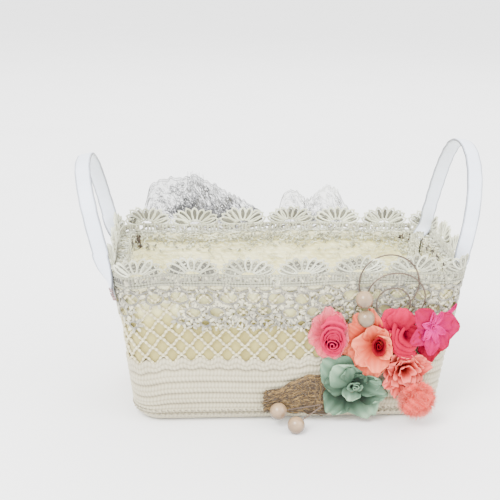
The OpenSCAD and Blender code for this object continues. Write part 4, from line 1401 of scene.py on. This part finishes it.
def mint_rose():
    """The wide mint rose at the bottom: large outer petals, an inner pair and a small roll."""
    s = Shells()
    spot = Spot(44, 31.5, 4.8)
    # the three lower petals start from a foot tone below zero: painted shade between the bottom petals
    open_petals(s, spot, 1.6, 800, "cup curl lift edge dark", [
        (140, 27, 27, 3.0, 2.4, 0.0, 0.85), (106, 13, 16, 6.0, 2.0, 1.0, 0.6),
        (178, 19, 19, 4.0, 2.0, 0.4, 0.6), (234, 27, 26, 2.6, 2.0, 0.0, 0.92, -0.9),
        (298, 28, 27, 3.0, 2.0, 0.8, 1.0, -0.9), (338, 24, 22, 3.6, 2.2, 1.4, 0.9, -0.9),
        (4, 18, 14, 5.2, 2.4, 1.6, 0.8), (48, 9, 12, 6.0, 1.6, 1.2, 0.5)],
        ruffle=1.0, waves_n=1.9, fold=0.5, shape=1.15, dark=0.3)
    open_petals(s, spot, 1.2, 830, "dark", [(138, 20, 22, 0.3), (256, 11, 14, 0.0)],
                cup=6.0, curl=2.4, ruffle=0.8, waves_n=1.5, fold=1.6, lift=1.0, shape=1.0, edge=1.0)
    open_petal(s, Spot(44, 34, 8.4), 337, 0.0, 24, 15, cup=3.5, curl=3.0, ruffle=1.5, waves_n=1.5, fold=-1.0,
               seed=840, shape=0.7, tone=(-0.1, 1.0))
    piece(s.build("mint_rose_folds", mint_mat), "mint_petal", "mint_rose_petals")
    s = Shells()
    middle = Spot(44.3, 31.0, 7.2, scale=(1.1, 0.7))
    rolled_heart(s, middle, 0.6, 2.6, 1.2, 6.6, seed=850)
    around(s, middle, [(angle, 3.8, 110, 5.0) for angle in (100, 215, 330)], 851, flare=1.4, tone=(0.0, 0.75))
    piece(s.build("mint_rose_roll", mint_mat), "mint_petal", "mint_rose_centre")


def felt_pad():
    """A small pad of felt under the flowers, hidden by them."""
    s = Shells()
    a = CIRCLE * np.arange(72) / 72
    rows = []
    for t in np.linspace(0.06, 1, 9):
        x = 64 + t * (31 + 4 * np.cos(2 * a + 0.5)) * np.cos(a)
        z = 48 + t * (27 + 5 * np.sin(a)) * np.sin(a) + 0.4 * np.cos(9 * a)
        rows.append(np.stack([x, -half_sizes(z)[1] - 1.9 + 0 * x, z], -1))
    shell(s, np.array(rows), 1.6, wrap=True)
    piece(s.build("felt_pad", felt_mat), "felt", "corsage_backing")


felt_mat = woven("sage_felt", (0.40, 0.38, 0.26), (0.55, 0.52, 0.38), 0.0006, 0.4)
burlap_mat = yarn("jute", (0.006, 0.003, 0.001), (0.055, 0.029, 0.008), (0.27, 0.165, 0.05), 700, 0.7, 0.95)


def burlap():
    """A tail of loosely woven jute, pinched under the mint rose and frayed at its free end."""
    def place(q, v):
        x = -16.5 + 44 * q
        mid = 17.2 + 4.5 * q + 1.5 * np.sin(q * 3)
        half = 7.0 + 8.2 * smoothstep(q, 0.0, 0.8) + 0.5 * np.sin(q * 21)
        z = mid + v * half + 0.6 * np.sin(q * 13 + v)
        out = 3.0 - 0.2 * q + (0.8 - 0.6 * q) * (np.sin(v * 4.2 + 5 * q) + 0.5 * np.sin(q * 17))
        return np.stack([x, -half_sizes(z)[1] - out, z], -1)

    s = Shells()
    q, v = np.meshgrid(np.linspace(0, 1, 40), np.linspace(-1, 1, 22))
    shell(s, place(q, v)[::-1], 0.7, tone=0.35 + 0.1 * np.sin(v * 60))
    cloth = piece(s.build("burlap_cloth", burlap_mat), "burlap", "burlap_ribbon")
    s = Shells()
    r = np.random.default_rng(900)
    for i in range(230):
        v0 = -1 + 2 * r.random()
        q0 = r.random() ** 1.5 * 0.7 - 0.04
        w = np.linspace(0, 1, 22)
        qs = q0 + (0.25 + 0.4 * r.random()) * w
        vs = v0 + 0.03 * np.sin(w * (9 + 8 * r.random()) + i) + 0.5 * (r.random() - 0.35) * w
        p = place(qs, np.clip(vs, -1.06, 1.06))
        p[:, 1] -= (0.5 + 0.7 * r.random() + 0.35 * np.sin(w * 15 + i)) * (1 - 0.6 * qs)
        p[:, 2] = np.maximum(p[:, 2], 0.8)
        radius = 0.26 + 0.2 * r.random()
        tube(s, p, radius, 5, tone=np.clip(0.15 + 0.75 * r.random() + 0.15 * np.sin(w * 40), 0, 1))
    for i in range(90):
        q0 = r.random() * 0.95
        w = np.linspace(-1, 1, 14)
        a, b = np.sort(r.random(2) * 2 - 1)
        vs = a + (b - a + 0.25) * (w + 1) / 2
        p = place(q0 + 0.015 * np.sin(w * 7 + i), np.clip(vs, -1.03, 1.03))
        p[:, 1] -= 0.45 + 0.5 * r.random() + 0.3 * np.sin(w * 12 + i)
        tube(s, p, 0.3, 5, tone=0.2 + 0.6 * r.random())
    for i in range(26):
        v0 = -1 + 2 * i / 25
        w = np.linspace(0, 1, 8)
        base = place(np.array([0.02]), np.array([v0]))[0]
        tip = base + [-2.5 - 2.5 * r.random(), -0.5 + r.normal() * 0.4, r.normal() * 1.2]
        p = base * (1 - w[:, None]) + tip * w[:, None] + np.sin(w * 7 + i)[:, None] * [0, 0.3, 0.3]
        tube(s, p, np.linspace(0.4, 0.15, 8), 4, tone=0.3 + 0.6 * r.random())
    strands = piece(s.build("burlap_strands", burlap_mat), "burlap")


def stem_wires():
    """Short wires that fix each flower to the felt."""
    s = Shells()
    for x, z, reach in ((28.4, 67, 4.5), (55.5, 62, 4.5), (73.5, 71, 5.0), (93, 76.5, 5.5), (78, 43.5, 5.0),
                        (44, 31.5, 6.0), (88, 21.5, 6.0)):
        spot = Spot(x, z, 0.3)
        t = np.linspace(0, reach, 5)
        tube(s, spot.put(0.3 * np.sin(t), 0 * t, t), 0.9, 8)
    piece(s.build("stem_wires", stem_mat), "stem_tape", "flower_stems")


stem_mat = plain_grain("stem_tape", (0.03, 0.07, 0.03), (0.06, 0.12, 0.05), 500, 0.8)
for make in (stem_wires, pink_rose, peach_rose, hot_blossom, magenta_blossom, carnation, puff, mint_rose,
             felt_pad, burlap):
    make()


# ---------------------------------------------------------------- parts shown as they are in the CAD part

def show(material, *nodes):
    """CAD nodes that are seen as they are, in a material of their own."""
    for node in nodes:
        obj = frame["nodes"][node]
        for part in ([obj] if obj.type == "MESH" else [c for c in obj.children_recursive if c.type == "MESH"]):
            part.data.materials.clear()
            part.data.materials.append(material)


def pearl_mat():
    """Brown pearl with painted shade on its underside, and a soft swirl."""
    n = Nodes("pearl")
    swirl = n.noise(90, 3, 0.6)
    split = n.new("ShaderNodeSeparateXYZ")
    n.link(n.coords.outputs["Normal"], split.inputs[0])
    # painted shade: the colour darkens as the surface turns downwards
    under = n.math("ADD", n.math("MULTIPLY", split.outputs["Z"], -0.24), 0.16)
    colour = n.ramp(n.math("ADD", n.math("MULTIPLY", swirl, 0.6), under),
                    [(0.2, (0.36, 0.24, 0.135)), (0.5, (0.20, 0.130, 0.075)), (0.75, (0.045, 0.028, 0.018))])
    n.bump(n.noise(500, 2, 0.5), 0.04, 0.0002)
    return n.done(colour, Roughness=0.3, Coat_Weight=0.3, Coat_Roughness=0.1)


show(pearl_mat(), "upper_pearl", "middle_pearl", "side_pearl", "front_pearl")
show(plain_grain("brown_wire", (0.045, 0.026, 0.016), (0.11, 0.07, 0.045), 600, 0.5),
     "outer_wire_loop", "middle_wire_loop", "inner_wire_loop", "pearl_stems")
show(plain_grain("board", (0.35, 0.27, 0.17), (0.48, 0.38, 0.26), 300, 0.85), "base_board")
show(plain_grain("former", (0.60, 0.54, 0.34), (0.72, 0.66, 0.46), 200, 0.7), "former_wall")
show(crochet_mat, "crochet_base")


# ---------------------------------------------------------------- camera, light and floor

def stage():
    """A white paper floor, white surroundings and three soft lamps."""
    side = 6.0
    mesh = bpy.data.meshes.new("floor")
    corners = [(-side, -side, 0), (side, -side, 0), (side, side, 0), (-side, side, 0)]
    mesh.from_pydata(corners, [], [(0, 1, 2, 3)])
    mesh.materials.append(plain_grain("floor_paper", (0.93, 0.93, 0.93), (0.95, 0.95, 0.95), 60, 0.9, 0.02))
    props = [bpy.data.objects.new("floor", mesh)]
    world = bpy.data.worlds.new("studio")
    bpy.context.scene.world = world
    world.use_nodes = True
    background = world.node_tree.nodes["Background"].inputs
    background["Color"].default_value = (1, 1, 1, 1)
    background["Strength"].default_value = 3.1
    middle = Vector((0, 0, 0.07))  # what the lamps point at
    for name, at, size, power in (("key", (-0.9, -1.3, 1.7), 0.9, 80), ("fill", (1.5, -0.8, 1.1), 1.4, 24),
                                  ("back", (0.3, 1.5, 1.6), 1.2, 24)):
        light = bpy.data.lights.new(name, "AREA")
        light.energy, light.size = power, size
        obj = bpy.data.objects.new(name, light)
        obj.location = at
        obj.rotation_euler = (middle - Vector(at)).to_track_quat("-Z", "Y").to_euler()
        props.append(obj)
    for obj in props:
        bpy.context.scene.collection.objects.link(obj)


CAMERA_AT = (-0.0785, -0.7192, 0.3261)
CAMERA_DOWN, CAMERA_TURN, CAMERA_ROLL = (math.radians(a) for a in (16.75, 4.29, 0.88))
CAMERA_LENS = 74.44


def camera():
    """The camera in front of the basket and a little to its left, looking down on it."""
    flat = math.cos(CAMERA_DOWN)
    ahead = Vector((math.sin(CAMERA_TURN) * flat, math.cos(CAMERA_TURN) * flat, -math.sin(CAMERA_DOWN)))
    right = ahead.cross(Vector((0, 0, 1))).normalized()
    up = right.cross(ahead)
    x = math.cos(CAMERA_ROLL) * right + math.sin(CAMERA_ROLL) * up
    y = -math.sin(CAMERA_ROLL) * right + math.cos(CAMERA_ROLL) * up
    data = bpy.data.cameras.new("camera")
    data.lens, data.sensor_width = CAMERA_LENS, 36
    obj = bpy.data.objects.new("camera", data)
    rows = zip(x, y, -ahead, CAMERA_AT)
    obj.matrix_world = Matrix((*rows, (0, 0, 0, 1)))
    bpy.context.scene.collection.objects.link(obj)
    bpy.context.scene.camera = obj


camera()
stage()
